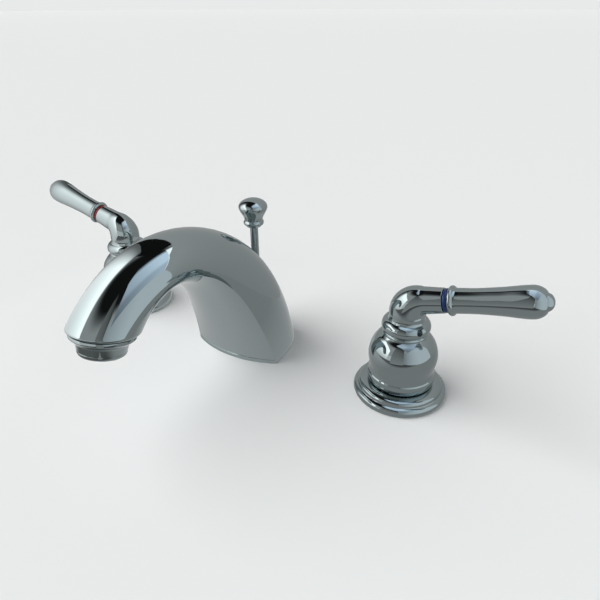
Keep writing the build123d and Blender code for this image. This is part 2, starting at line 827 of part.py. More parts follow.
    # Valve under the deck
    body_top = -valve_body_drop
    body_bottom = body_top - valve_body_height
    inlet_bottom = body_bottom - inlet_length
    cartridge_bottom = valve_shank_top - cartridge_drop
    seat_z = cartridge_bottom - seat_seal_thickness
    outlet_z = body_top - valve_body_height / 2
    outlet_plane = Plane(origin=(x, 0, outlet_z), x_dir=(0, 1, 0), z_dir=(-side, 0, 0))
    with BuildPart() as valve_body:
        with BuildSketch(Plane.XY.offset(body_top)):
            with Locations(spot):
                Circle(valve_shank_radius)
        extrude(amount=valve_shank_top + valve_body_drop)
        with BuildSketch(Plane.XY.offset(body_bottom)):
            with Locations(spot):
                RegularPolygon(valve_body_radius, 8, major_radius=False, rotation=22.5)
        extrude(amount=valve_body_height)
        with BuildSketch(Plane.XY.offset(inlet_bottom)):
            with Locations(spot):
                Circle(inlet_radius)
        extrude(amount=inlet_length)
        with BuildSketch(outlet_plane):
            Circle(outlet_shoulder_radius)
        extrude(amount=outlet_shoulder_reach)
        with BuildSketch(outlet_plane):
            Circle(hose_nipple_radius)
        extrude(amount=outlet_reach)
        with BuildSketch(Plane.XY.offset(valve_shank_top)):
            with Locations(spot):
                Circle(cartridge_radius + fit_gap)
        extrude(amount=seat_z - valve_shank_top, mode=Mode.SUBTRACT)
        with BuildSketch(Plane.XY.offset(inlet_bottom)):
            with Locations(spot):
                Circle(inlet_bore)
        extrude(amount=seat_z - inlet_bottom, mode=Mode.SUBTRACT)
        with BuildSketch(outlet_plane):
            Circle(hose_nipple_bore)
        extrude(amount=outlet_reach, mode=Mode.SUBTRACT)
    valve_body.part.label = f"{name}_valve_body"
    export_step(valve_body.part, f"parts/{name}_valve_body.step")

    with BuildPart() as ring_washer:
        add(washer(spot, ring_washer_thickness, ring_nut_radius, valve_washer_bore, ring_washer_thickness))
    ring_washer.part.label = f"{name}_top_washer"
    export_step(ring_washer.part, f"parts/{name}_top_washer.step")

    with BuildPart() as ring_nut:
        ring_nut_top = ring_washer_thickness + ring_nut_height
        add(washer(spot, ring_nut_top, ring_nut_radius, valve_shank_radius + fit_gap, ring_nut_height))
        with BuildSketch(Plane.XY.offset(ring_nut_top)):
            with Locations(spot):
                with PolarLocations(ring_nut_radius, 6):
                    Circle(1.6)
        extrude(amount=-ring_nut_height, mode=Mode.SUBTRACT)
    ring_nut.part.label = f"{name}_top_ring_nut"
    export_step(ring_nut.part, f"parts/{name}_top_ring_nut.step")

    with BuildPart() as rubber_washer:
        add(washer(spot, rubber_z, valve_washer_radius, valve_washer_bore, rubber_washer_thickness))
    rubber_washer.part.label = f"{name}_rubber_washer"
    export_step(rubber_washer.part, f"parts/{name}_rubber_washer.step")

    with BuildPart() as steel_washer:
        add(washer(spot, steel_z, valve_washer_radius, valve_washer_bore, steel_washer_thickness))
    steel_washer.part.label = f"{name}_steel_washer"
    export_step(steel_washer.part, f"parts/{name}_steel_washer.step")

    with BuildPart() as locknut:
        add(hex_nut(spot, nut_z, valve_nut_flats, valve_shank_radius + fit_gap, nut_height))
    locknut.part.label = f"{name}_locknut"
    export_step(locknut.part, f"parts/{name}_locknut.step")

    # Quarter-turn ceramic cartridge
    disc_bottom = cartridge_bottom
    moving_bottom = disc_bottom + disc_thickness + disc_film
    foot_bottom = moving_bottom + disc_thickness
    head_top = valve_shank_top + cartridge_head_height
    with BuildPart() as cartridge:
        with BuildSketch(Plane.XY.offset(cartridge_bottom)):
            with Locations(spot):
                Circle(cartridge_radius)
        extrude(amount=cartridge_drop)
        with BuildSketch(Plane.XY.offset(valve_shank_top)):
            with Locations(spot):
                RegularPolygon(cartridge_head_flats / 2, 6, major_radius=False)
        extrude(amount=cartridge_head_height)
        with BuildSketch(Plane.XY.offset(cartridge_bottom)):
            with Locations(spot):
                Circle(cartridge_radius - cartridge_wall)
        extrude(amount=foot_bottom + stem_foot_height + clip_gap - cartridge_bottom, mode=Mode.SUBTRACT)
        with BuildSketch(Plane.XY.offset(cartridge_bottom)):
            with Locations(spot):
                Circle(stem_radius + turn_gap)
        extrude(amount=head_top - cartridge_bottom, mode=Mode.SUBTRACT)
        with BuildSketch(Plane(origin=(x, 0, outlet_z), x_dir=(0, 1, 0), z_dir=(1, 0, 0))):
            Circle(hose_nipple_bore - 1.4)
        extrude(amount=cartridge_radius + 1, both=True, mode=Mode.SUBTRACT)
    cartridge.part.label = f"{name}_cartridge_body"
    export_step(cartridge.part, f"parts/{name}_cartridge_body.step")

    with BuildPart() as stem:
        with BuildSketch(Plane.XY.offset(foot_bottom)):
            with Locations(spot):
                Circle(stem_foot_radius)
        extrude(amount=stem_foot_height)
        with BuildSketch(Plane.XY.offset(foot_bottom)):
            with Locations(spot):
                Circle(stem_radius)
        extrude(amount=socket_start - foot_bottom)
        with BuildSketch(Plane.XY.offset(socket_start)):
            with Locations(spot):
                Circle(spline_radius)
        extrude(amount=spline_length)
        with BuildSketch(Plane.XY.offset(socket_start + spline_relief)):
            with Locations(spot):
                with PolarLocations(spline_radius + 0.15, spline_teeth):
                    RegularPolygon(0.5, 3)
        extrude(amount=spline_length, mode=Mode.SUBTRACT)
        with BuildSketch(half_plane):
            with Locations((stem_radius, valve_shank_top - oring_drop)):
                Rectangle(2 * oring_section, 1.2 * oring_section)
        revolve(axis=stem_axis, mode=Mode.SUBTRACT)
        with BuildSketch(half_plane):
            with Locations((stem_radius, head_top + clip_gap + clip_thickness / 2)):
                Rectangle(1.6, clip_thickness + 0.1)
        revolve(axis=stem_axis, mode=Mode.SUBTRACT)
    stem.part.label = f"{name}_cartridge_stem"
    export_step(stem.part, f"parts/{name}_cartridge_stem.step")

    with BuildPart() as stem_oring:
        with BuildSketch(half_plane):
            with Locations((stem_radius - oring_section / 2, valve_shank_top - oring_drop)):
                Circle(oring_section / 2 - fit_gap)
        revolve(axis=stem_axis)
    stem_oring.part.label = f"{name}_stem_oring"
    export_step(stem_oring.part, f"parts/{name}_stem_oring.step")

    with BuildPart() as stem_clip:
        with BuildSketch(Plane.XY.offset(head_top + clip_gap)):
            with Locations(spot):
                Circle(clip_radius)
                Circle(stem_radius - 0.75, mode=Mode.SUBTRACT)
                with Locations((clip_radius, 0)):
                    Rectangle(2 * clip_radius, 3.0, mode=Mode.SUBTRACT)
        extrude(amount=clip_thickness)
    stem_clip.part.label = f"{name}_stem_clip"
    export_step(stem_clip.part, f"parts/{name}_stem_clip.step")

    with BuildPart() as moving_disc:
        with BuildSketch(Plane.XY.offset(moving_bottom)):
            with Locations(spot):
                Circle(disc_radius)
                with PolarLocations(port_offset, 2):
                    Circle(port_radius, mode=Mode.SUBTRACT)
        extrude(amount=disc_thickness)
    moving_disc.part.label = f"{name}_moving_disc"
    export_step(moving_disc.part, f"parts/{name}_moving_disc.step")

    with BuildPart() as fixed_disc:
        with BuildSketch(Plane.XY.offset(disc_bottom)):
            with Locations(spot):
                Circle(disc_radius)
                with PolarLocations(port_offset, 2, start_angle=90):
                    Circle(port_radius, mode=Mode.SUBTRACT)
        extrude(amount=disc_thickness)
    fixed_disc.part.label = f"{name}_fixed_disc"
    export_step(fixed_disc.part, f"parts/{name}_fixed_disc.step")

    with BuildPart() as seat_seal:
        add(washer(spot, cartridge_bottom, cartridge_radius - 0.2, inlet_bore + 0.4, seat_seal_thickness))
    seat_seal.part.label = f"{name}_seat_seal"
    export_step(seat_seal.part, f"parts/{name}_seat_seal.step")
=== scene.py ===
import bpy
import bmesh
import json
import numpy as np
from math import atan2, cos, pi, radians, sin, sqrt
from mathutils import Matrix, Vector


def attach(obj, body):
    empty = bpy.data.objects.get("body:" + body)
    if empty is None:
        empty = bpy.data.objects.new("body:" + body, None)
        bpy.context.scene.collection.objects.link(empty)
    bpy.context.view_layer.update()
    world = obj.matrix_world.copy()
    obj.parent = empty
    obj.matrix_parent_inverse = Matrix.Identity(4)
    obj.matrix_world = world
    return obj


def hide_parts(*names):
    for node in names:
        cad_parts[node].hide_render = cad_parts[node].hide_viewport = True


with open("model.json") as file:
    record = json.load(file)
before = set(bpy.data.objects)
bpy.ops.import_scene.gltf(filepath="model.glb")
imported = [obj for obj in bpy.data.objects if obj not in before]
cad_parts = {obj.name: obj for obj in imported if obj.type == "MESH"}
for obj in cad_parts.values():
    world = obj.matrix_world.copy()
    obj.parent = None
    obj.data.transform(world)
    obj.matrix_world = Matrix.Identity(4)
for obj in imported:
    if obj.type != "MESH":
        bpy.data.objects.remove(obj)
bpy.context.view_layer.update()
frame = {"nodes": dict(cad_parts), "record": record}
print("frame loaded:", len(frame["nodes"]), "nodes")

mm = 0.001  # every size below is in millimetres and is turned to metres where the mesh is made


def hexToLinear(code, alpha=1.0):
    channels = [int(code[i:i + 2], 16) / 255 for i in (1, 3, 5)]
    return [c / 12.92 if c <= 0.04045 else ((c + 0.055) / 1.055) ** 2.4 for c in channels] + [alpha]


def addNode(tree, kind, *values, **settings):
    # values: for the inputs in their order, or one dictionary by name; a node stands for its first output
    node = tree.nodes.new(kind)
    for key, value in settings.items():
        setattr(node, key, value)
    named = values[0] if values and isinstance(values[0], dict) else dict(enumerate(values))
    for socket, value in named.items():
        if isinstance(value, bpy.types.Node):
            value = value.outputs[0]
        if isinstance(value, bpy.types.NodeSocket):
            tree.links.new(value, node.inputs[socket])
        else:
            node.inputs[socket].default_value = value
    return node


def startTree(name, **inputs):
    # a Geometry Nodes tree with its named inputs, and what is known in it: they and a grid point's place
    tree = bpy.data.node_groups.new(name, "GeometryNodeTree")
    tree.interface.new_socket("geometry", in_out="OUTPUT", socket_type="NodeSocketGeometry")
    for kind, labels in {**inputs, "Material": "finish"}.items():
        for label in labels.split():
            tree.interface.new_socket(label, in_out="INPUT", socket_type=f"NodeSocket{kind}")
    spot = addNode(tree, "ShaderNodeSeparateXYZ", addNode(tree, "GeometryNodeInputPosition"))
    return tree, dict(addNode(tree, "NodeGroupInput").outputs.items()) | dict(spot.outputs.items())


def endTree(tree, shape, finish):
    real = addNode(tree, "GeometryNodeRealizeInstances", shape)
    addNode(tree, "NodeGroupOutput", addNode(tree, "GeometryNodeSetMaterial", {"Geometry": real, "Material": finish}))


def lean(angle):
    # direction in the spout's side profile, as an angle behind upright
    return Vector((0, sin(radians(angle)), cos(radians(angle))))


def bezierRun(a, b, c, d, count=24):
    t = np.linspace(0, 1, count + 1)[:, None]
    a, b, c, d = (np.array(p, float) for p in (a, b, c, d))
    return list((1 - t) ** 3 * a + 3 * (1 - t) ** 2 * t * b + 3 * (1 - t) * t * t * c + t ** 3 * d)


def arcRun(a, b, c, count=16):
    # circle arc from a over b to c
    (ax, ay), (bx, by), (cx, cy) = a, b, c
    d = 2 * (ax * (by - cy) + bx * (cy - ay) + cx * (ay - by))
    ux = ((ax**2 + ay**2) * (by - cy) + (bx**2 + by**2) * (cy - ay) + (cx**2 + cy**2) * (ay - by)) / d
    uy = ((ax**2 + ay**2) * (cx - bx) + (bx**2 + by**2) * (ax - cx) + (cx**2 + cy**2) * (bx - ax)) / d
    start, over, stop = (atan2(y - uy, x - ux) for x, y in (a, b, c))
    turn = (stop - start) % (2 * pi)
    if (over - start) % (2 * pi) > turn:
        turn -= 2 * pi
    r = sqrt((ax - ux) ** 2 + (ay - uy) ** 2)
    return [(ux + r * cos(start + turn * i / count), uy + r * sin(start + turn * i / count)) for i in range(count + 1)]


def splineRun(points, startSlope, endSlope, count=12):
    # smooth line through the points, leaving and arriving along the two slopes
    p = [np.array(q, float) for q in points]
    reach = [np.linalg.norm(p[i + 1] - p[i]) for i in range(len(p) - 1)]
    slopes = [np.array(startSlope, float) / np.linalg.norm(startSlope)]
    for i in range(1, len(p) - 1):
        before, after = (p[i] - p[i - 1]) / reach[i - 1], (p[i + 1] - p[i]) / reach[i]
        slopes.append((before * reach[i] + after * reach[i - 1]) / (reach[i] + reach[i - 1]))
    slopes.append(np.array(endSlope, float) / np.linalg.norm(endSlope))
    run = [p[0]]
    for i in range(len(p) - 1):
        a, d, k = p[i], p[i + 1], reach[i] / 3
        run += bezierRun(a, a + slopes[i] * k, d - slopes[i + 1] * k, d, count)[1:]
    return run


def easedProfile(points, ease=0.3, step=0.08):
    # rounds every corner of a profile by about this much, as polishing does, and thins out its straight parts
    line = np.array([points[0]] + [q for p, q in zip(points, points[1:]) if np.hypot(*(np.array(q) - p)) > 1e-6], float)
    along = np.concatenate([[0], np.cumsum(np.hypot(*np.diff(line, axis=0).T))])
    even = np.linspace(0, along[-1], max(int(along[-1] / step), 8))
    fine = np.stack([np.interp(even, along, line[:, k]) for k in (0, 1)], 1)
    half = max(int(ease / step), 1)
    padded = np.concatenate([2 * fine[0] - fine[half:0:-1], fine, 2 * fine[-1] - fine[-2:-half - 2:-1]])
    window = np.hanning(2 * half + 3)[1:-1]
    soft = np.stack([np.convolve(padded[:, k], window / window.sum(), "valid") for k in (0, 1)], 1)
    soft[0], soft[-1] = line[0], line[-1]
    kept, last, bend = [soft[0]], 0, 0.0
    for i in range(1, len(soft) - 1):
        a, b = soft[i] - soft[i - 1], soft[i + 1] - soft[i]
        bend += abs(atan2(a[0] * b[1] - a[1] * b[0], a @ b))
        if bend > radians(5) or (i - last) * step > 2.0:
            kept.append(soft[i])
            last, bend = i, 0.0
    return kept + [soft[-1]]


def turnedRings(profile, base, axis, side, around=96):
    # rings of a turned piece: the profile is (radius, height along the axis from the base)
    across = axis.cross(side)
    rings = []
    for radius, height in profile:
        centre = base + axis * height
        if radius < 1e-5:
            rings.append([centre])
        else:
            rings.append([
                centre + (side * cos(2 * pi * i / around) + across * sin(2 * pi * i / around)) * radius
                for i in range(around)
            ])
    return rings


def skinMesh(name, rings, closed=False):
    # a skin over the rings, one point standing for a closed pole
    points, faces, starts = [], [], []
    for ring in rings:
        starts.append(len(points))
        points += [p * mm for p in ring]
    pairs = list(zip(range(len(rings) - 1), range(1, len(rings))))
    if closed:
        pairs.append((len(rings) - 1, 0))
    for a, b in pairs:
        na, nb, sa, sb = len(rings[a]), len(rings[b]), starts[a], starts[b]
        for i in range(max(na, nb)):
            j = (i + 1) % max(na, nb)
            if na == 1:
                faces.append((sa, sb + j, sb + i))
            elif nb == 1:
                faces.append((sa + i, sa + j, sb))
            else:
                faces.append((sa + i, sa + j, sb + j, sb + i))
    mesh = bpy.data.meshes.new(name)
    mesh.from_pydata(points, [], faces)
    return mesh


def polishMesh(mesh, sharpOver=40):
    # one skin, faces outwards, smooth except over real corners
    work = bmesh.new()
    work.from_mesh(mesh)
    bmesh.ops.remove_doubles(work, verts=work.verts, dist=1e-7)
    bmesh.ops.recalc_face_normals(work, faces=work.faces)
    work.to_mesh(mesh)
    work.free()
    mesh.shade_smooth()
    mesh.set_sharp_from_angle(angle=radians(sharpOver))
    return mesh


def turnedMesh(name, profile, ease, base, axis, side, around=96, closed=False):
    # a turned piece with its corners eased; a closed profile ends where it starts
    rings = turnedRings(easedProfile(profile, ease), base, axis, side, around)
    return polishMesh(skinMesh(name, rings[:-1] if closed else rings, closed))


def place(name, data):
    piece = bpy.data.objects.new(name, data)
    bpy.context.scene.collection.objects.link(piece)
    return piece


def joined(name, meshes):
    # several closed skins as one mesh
    work = bmesh.new()
    for mesh in meshes:
        work.from_mesh(mesh)
    mesh = bpy.data.meshes.new(name)
    work.to_mesh(mesh)
    work.free()
    return mesh


def plainMesh(piece):
    # the finished shape of a piece as a plain mesh, its modifiers gone
    shaped = bpy.data.meshes.new_from_object(piece.evaluated_get(bpy.context.evaluated_depsgraph_get()))
    piece.modifiers.clear()
    piece.data = shaped
    return piece


def drill(piece, start, axis, radius, depth, side):
    # a round hole from the start point along the axis
    tool = place("drill", polishMesh(skinMesh("drill", turnedRings(
        [(0, 0), (radius, 0), (radius, depth), (0, depth)], start, axis, side, 40))))
    cut = piece.modifiers.new("hole", "BOOLEAN")
    cut.operation, cut.solver, cut.object = "DIFFERENCE", "EXACT", tool
    plainMesh(piece)
    bpy.data.objects.remove(tool)
    piece.data.set_sharp_from_angle(angle=radians(40))


def dress(piece, slotName, body, node):
    # the finish of its slot, the body it rides on and the CAD node it takes the place of
    piece.data.materials.clear()
    piece.data.materials.append(slotFinish[slotName])
    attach(piece, body)
    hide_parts(node)


def makeFinish(name, colour, metallic=0.0, roughness=0.4):
    finish = bpy.data.materials.new(name)
    finish.use_nodes = True
    shader = finish.node_tree.nodes["Principled BSDF"]
    shader.inputs["Base Color"].default_value = hexToLinear(colour)
    shader.inputs["Metallic"].default_value = metallic
    shader.inputs["Roughness"].default_value = roughness
    return finish, finish.node_tree, shader


def mottle(tree, shader, scale, least, most, detail=2.0, start=0.0, stop=1.0, point=None):
    # roughness that wanders between least and most, in spots 1 / scale metres wide
    point = point or addNode(tree, "ShaderNodeTexCoord").outputs["Object"]
    spots = addNode(tree, "ShaderNodeTexNoise", {"Vector": point, "Scale": scale, "Detail": detail})
    level = addNode(tree, "ShaderNodeMapRange", {
        "Value": spots, "From Min": start, "From Max": stop, "To Min": least, "To Max": most})
    tree.links.new(level.outputs["Result"], shader.inputs["Roughness"])
    return spots


def glowing(name, colour):
    # a finish that only gives light, with its node tree and its light
    finish = bpy.data.materials.new(name)
    finish.use_nodes = True
    tree = finish.node_tree
    tree.nodes.clear()
    light = addNode(tree, "ShaderNodeEmission", {"Color": hexToLinear(colour)})
    addNode(tree, "ShaderNodeOutputMaterial", {"Surface": light})
    return finish, tree, light


# Chrome plate on polished brass: a cool mirror with faint wiping haze that softens a reflection by a hair
chromePlate, tree, shader = makeFinish("polishedChromePlate", "#a6b1b2", metallic=1.0)
mottle(tree, shader, 60.0, 0.03, 0.06, detail=3.0, start=0.35, stop=0.7)  # 17 mm

# Brass as turned and threaded: warm, and dulled in soft patches by handling
turnedBrass, tree, shader = makeFinish("turnedBrass", "#c9a86a", metallic=1.0)
tarnish = mottle(tree, shader, 140.0, 0.24, 0.42, detail=4.0)  # 7 mm
tarnishTone = addNode(tree, "ShaderNodeMix", {  # 6, 7 and output 2 are the colour sockets of a Mix node
    "Factor": tarnish, 6: hexToLinear("#d2b377"), 7: hexToLinear("#a8874d")}, data_type="RGBA")
tree.links.new(tarnishTone.outputs[2], shader.inputs["Base Color"])

# Stamped stainless steel: grey, satin from rolling, with lines 0.4 mm apart
stampedSteel, tree, shader = makeFinish("stampedStainlessSteel", "#b9bbbc", metallic=1.0)
surface = addNode(tree, "ShaderNodeTexCoord").outputs["Object"]
drawnOut = addNode(tree, "ShaderNodeMapping", {"Vector": surface, "Scale": (150.0, 2500.0, 400.0)})
mottle(tree, shader, 1.0, 0.22, 0.4, point=drawnOut)

# Moulded black rubber: matt, with a fine spark-eroded skin
mouldedRubber, tree, shader = makeFinish("mouldedBlackRubber", "#1d1d1e", roughness=0.62)
surface = addNode(tree, "ShaderNodeTexCoord").outputs["Object"]
skinGrain = addNode(tree, "ShaderNodeTexNoise", {"Vector": surface, "Scale": 2500.0})  # 0.4 mm
grainBump = addNode(tree, "ShaderNodeBump", {"Height": skinGrain, "Strength": 0.25, "Distance": 0.0002})
tree.links.new(grainBump.outputs["Normal"], shader.inputs["Normal"])

# Moulded nylon: off-white, waxy, a little uneven from the flow of the melt
mouldedNylon, tree, shader = makeFinish("mouldedNylon", "#dedfd9")
mottle(tree, shader, 220.0, 0.32, 0.46)  # 5 mm

# Lapped alumina: ivory ceramic, glossy
lappedCeramic, tree, shader = makeFinish("lappedAlumina", "#ebe8df")
mottle(tree, shader, 300.0, 0.1, 0.2)  # 3 mm

slotFinish = {
    "chrome": chromePlate, "brass": turnedBrass, "steel": stampedSteel, "rubber": mouldedRubber, "nylon": mouldedNylon,
    "ceramic": lappedCeramic,
}
# Acrylic index rings: deep colour under a clear gloss
for side, colour in (("hot", "#7d1a1f"), ("cold", "#0d2653")):
    slotFinish[f"{side}_index"], tree, shader = makeFinish(f"{side}AcrylicRing", colour)
    shader.inputs["IOR"].default_value = 1.49
    mottle(tree, shader, 500.0, 0.12, 0.22)  # 2 mm
for part in frame["record"]["subparts"]:
    for materialSlot in frame["nodes"][part["node"]].material_slots:
        materialSlot.material = slotFinish[part["material_slot"]]
print("finishes made:", len(slotFinish))


circleShare = 0.5523  # how far a Bezier handle reaches for a quarter circle
spout = {
    "footFront": 21.9, "footBack": 27.0, "footHalfWidth": 29.3, "footRim": 2.3, "footLip": 0.35,
    "mouthReach": 106.4, "mouthHeight": 65.9, "mouthRadius": 16.0, "mouthTilt": 16.5, "mouthRounding": 1.5,
    "noseLean": 44.0, "topRise": 80.5, "topRiseLean": 6.3, "topPull": 76.6,
    "bellyRise": 69.0, "bellyRiseLean": 17.6, "bellyPull": 35.3, "ridgeStart": 0.14, "ridgeEnd": 0.5, "ridgeClimb": 2.1,
    "widthTaper": 1.5, "footFullness": 0.71, "mouthFullness": circleShare,
    "wall": 3.0, "plateTop": 6.0, "boreRadius": 11.83, "boreDepth": 6.0,
    "rodSetback": 9.8, "rodHole": 2.75, "holeStart": 5.9, "holeDepth": 90.0,
    "around": 96, "along": 123, "rimRows": 8, "rowCrowding": 1.5, "ridgeCrowding": 1.7,
    "rimCrease": 8, "ridgeCrease": 11, "mouthClear": 25.0,  # the least angles of a crisp edge, and none near the mouth
}
mouthCentre = Vector((0, -spout["mouthReach"], spout["mouthHeight"]))
outlet = -lean(spout["mouthTilt"])
sideX, up = Vector((1, 0, 0)), Vector((0, 0, 1))
mouthFront = mouthCentre + outlet.cross(sideX) * spout["mouthRadius"]
mouthBack = mouthCentre * 2 - mouthFront

# The skin between the two profile lines: a full back and a shallow belly that meet in a ridge on each side
skinLengths = "footHalfWidth mouthRadius footRim footLip"
skinShares = "widthTaper ridgeStart ridgeEnd ridgeClimb footFullness mouthFullness rowCrowding ridgeCrowding"
tree, known = startTree(
    "spoutSkin", Vector="topStart topRise topPull topEnd bellyStart bellyRise bellyPull bellyEnd",
    Float=f"{skinLengths} {skinShares} rimShare", Int="around along")
grid = addNode(tree, "GeometryNodeMeshGrid", 1.0, 1.0, known["around"], known["along"])
for name, operation, *terms in map(str.split, (  # a Math node each: its name, operation and what it takes
    "across ADD X 0.5",
    "rise ADD Y 0.5",
    # rows: the first few are the upright rim at the deck, the rest run up the spout and crowd towards the mouth
    "rimmed SUBTRACT rise rimShare",
    "skirt SUBTRACT 1.0 rimShare",
    "aboveRim DIVIDE rimmed skirt",
    "leftOver SUBTRACT 1.0 aboveRim",
    "crowded POWER leftOver rowCrowding",
    "travelled SUBTRACT 1.0 crowded",
    "below DIVIDE rimmed rimShare",
    "rimPart MINIMUM below 0.0",
    "downRim ABSOLUTE rimPart",
    "rimCrowded POWER downRim 2.2",
    "rimDrop MULTIPLY rimCrowded footRim",
    "rimFall MULTIPLY rimDrop -1.0",
    # the rim stands proud of the belly by a small lip with a rounded edge
    "stillUp SUBTRACT 1.0 downRim",
    "lipLeft POWER stillUp 3.2",
    "lipShare SUBTRACT 1.0 lipLeft",
    "lipFull MULTIPLY lipShare footLip",
    "climb POWER travelled ridgeClimb",
    "taper POWER crowded widthTaper",
    # round the section: first the back from the right ridge to the left, then the belly
    "onBack LESS_THAN across 0.5",
    "backTurn MULTIPLY_ADD across -4.0 1.0",
    "bellyTurn MULTIPLY_ADD across 4.0 -3.0",
)):
    takes = [known.get(term) or float(term) for term in terms]
    known[name] = addNode(tree, "ShaderNodeMath", *takes, operation=operation, use_clamp=name == "aboveRim")

for line in ("top", "belly"):
    curve = addNode(tree, "GeometryNodeCurvePrimitiveBezierSegment", 200, known[f"{line}Start"], known[f"{line}Rise"],
                    known[f"{line}Pull"], known[f"{line}End"], mode="POSITION")
    known[f"{line}Line"] = addNode(tree, "GeometryNodeSampleCurve", {
        "Curves": curve, "Factor": known["travelled"]}, mode="FACTOR").outputs["Position"]
depthLine = addNode(tree, "ShaderNodeVectorMath", known["topLine"], known["bellyLine"], operation="SUBTRACT")
known["depth"] = addNode(tree, "ShaderNodeVectorMath", depthLine, operation="LENGTH").outputs["Value"]
for name, run, start, stop in (
    ("bellyShare", "climb", "ridgeStart", "ridgeEnd"),  # share of the depth that lies under the ridge
    ("halfWidth", "taper", "mouthRadius", "footHalfWidth"),
    ("fullness", "travelled", "footFullness", "mouthFullness"),
):
    known[name] = addNode(tree, "ShaderNodeMapRange", {
        "Value": known[run], "To Min": known[start], "To Max": known[stop]})
for size in ("turn", "width", "height"):  # each is the belly's or the back's, and gets its links below
    known[size] = addNode(tree, "GeometryNodeSwitch", input_type="FLOAT")

for name, operation, *terms in map(str.split, (
    "belly MULTIPLY depth bellyShare",
    "back SUBTRACT depth belly",
    "handed SIGN turn",
    "turned ABSOLUTE turn",
    "fromRidge MULTIPLY_ADD turned -1.0 1.0",
    "offRidge MAXIMUM fromRidge 0.0",
    "towardTop POWER offRidge ridgeCrowding",
    "towardRidge SUBTRACT 1.0 towardTop",
    # the back is a cubic with its two middle points at the fullness k: t^3 + 3 t^2 s + 3 t s^2 k
    "topSquare MULTIPLY towardTop towardTop",
    "ridgeSquare MULTIPLY towardRidge towardRidge",
    "wideInner MULTIPLY_ADD towardTop 3.0 towardRidge",
    "widePart MULTIPLY ridgeSquare wideInner",
    "wideCross MULTIPLY towardRidge topSquare",
    "wideFull MULTIPLY wideCross fullness",
    "wideReach MULTIPLY_ADD wideFull 3.0 widePart",
    "highInner MULTIPLY_ADD towardRidge 3.0 towardTop",
    "highPart MULTIPLY topSquare highInner",
    "highCross MULTIPLY towardTop ridgeSquare",
    "highFull MULTIPLY highCross fullness",
    "highReach MULTIPLY_ADD highFull 3.0 highPart",
    "backWidth MULTIPLY halfWidth wideReach",
    "backHeight MULTIPLY back highReach",
    # the belly is a circle arc through both ridges: its centre lies this far above the ridge line
    "widthSquare MULTIPLY halfWidth halfWidth",
    "perDepth DIVIDE widthSquare belly",
    "doubleLift SUBTRACT perDepth belly",
    "lift MULTIPLY doubleLift 0.5",
    "arcRadius ADD lift belly",
    "halfArc ARCTAN2 halfWidth lift",
    "bellyAngle MULTIPLY halfArc towardRidge",
    # the lip dies away before the ridge
    "ridgeNear POWER towardRidge 8.0",
    "ridgeFar SUBTRACT 1.0 ridgeNear",
    "lipRadius MULTIPLY_ADD lipFull ridgeFar arcRadius",
    "bellySine SINE bellyAngle",
    "bellyCosine COSINE bellyAngle",
    "bellyWidth MULTIPLY lipRadius bellySine",
    "bellyFall MULTIPLY lipRadius bellyCosine",
    "bellyHeight SUBTRACT lift bellyFall",
    "sideways MULTIPLY width handed",
    "fromBelly ADD height belly",
)):
    takes = [known.get(term) or float(term) for term in terms]
    known[name] = addNode(tree, "ShaderNodeMath", *takes, operation=operation)
for size in ("turn", "width", "height"):
    for socket, name in ("Switch", "onBack"), ("False", f"belly{size.title()}"), ("True", f"back{size.title()}"):
        tree.links.new(known[name].outputs[0], known[size].inputs[socket])

depthWay = addNode(tree, "ShaderNodeVectorMath", depthLine, operation="NORMALIZE")
inPlane = addNode(tree, "ShaderNodeVectorMath", {0: depthWay, "Scale": known["fromBelly"]}, operation="SCALE")
onBelly = addNode(tree, "ShaderNodeVectorMath", known["bellyLine"], inPlane, operation="ADD")
offset = addNode(tree, "ShaderNodeCombineXYZ", {"X": known["sideways"], "Z": known["rimFall"]})
skinSpot = addNode(tree, "ShaderNodeVectorMath", onBelly, offset, operation="ADD")
moved = addNode(tree, "GeometryNodeSetPosition", {"Geometry": grid, "Position": skinSpot})
endTree(tree, addNode(tree, "GeometryNodeMergeByDistance", {"Geometry": moved, "Distance": 1e-6}), known["finish"])


def grow(name, tree, values):
    # a piece whose mesh comes from a node tree, with its inputs set by identifier
    piece = place(name, bpy.data.meshes.new(name))
    modifier = piece.modifiers.new(name, "NODES")
    modifier.node_group = tree
    for item in tree.interface.items_tree:
        if item.in_out == "INPUT":
            modifier[item.identifier] = values[item.name]
    return plainMesh(piece)


topStart = Vector((0, spout["footBack"], spout["footRim"]))
bellyStart = Vector((0, -spout["footFront"], spout["footRim"]))
skinPoints = {
    "topStart": topStart, "topRise": topStart + lean(-spout["topRiseLean"]) * spout["topRise"],
    "topPull": mouthFront + lean(spout["noseLean"]) * spout["topPull"], "topEnd": mouthFront,
    "bellyStart": bellyStart, "bellyRise": bellyStart + lean(-spout["bellyRiseLean"]) * spout["bellyRise"],
    "bellyPull": mouthBack + lean(spout["noseLean"]) * spout["bellyPull"], "bellyEnd": mouthBack,
}
skin = grow("spoutSkin", tree, {
    **{name: spout[name] * mm for name in skinLengths.split()}, **{name: spout[name] for name in skinShares.split()},
    **{name: point * mm for name, point in skinPoints.items()},
    "rimShare": spout["rimRows"] / (spout["along"] - 1), "around": spout["around"] + 1, "along": spout["along"],
    "finish": chromePlate,
})


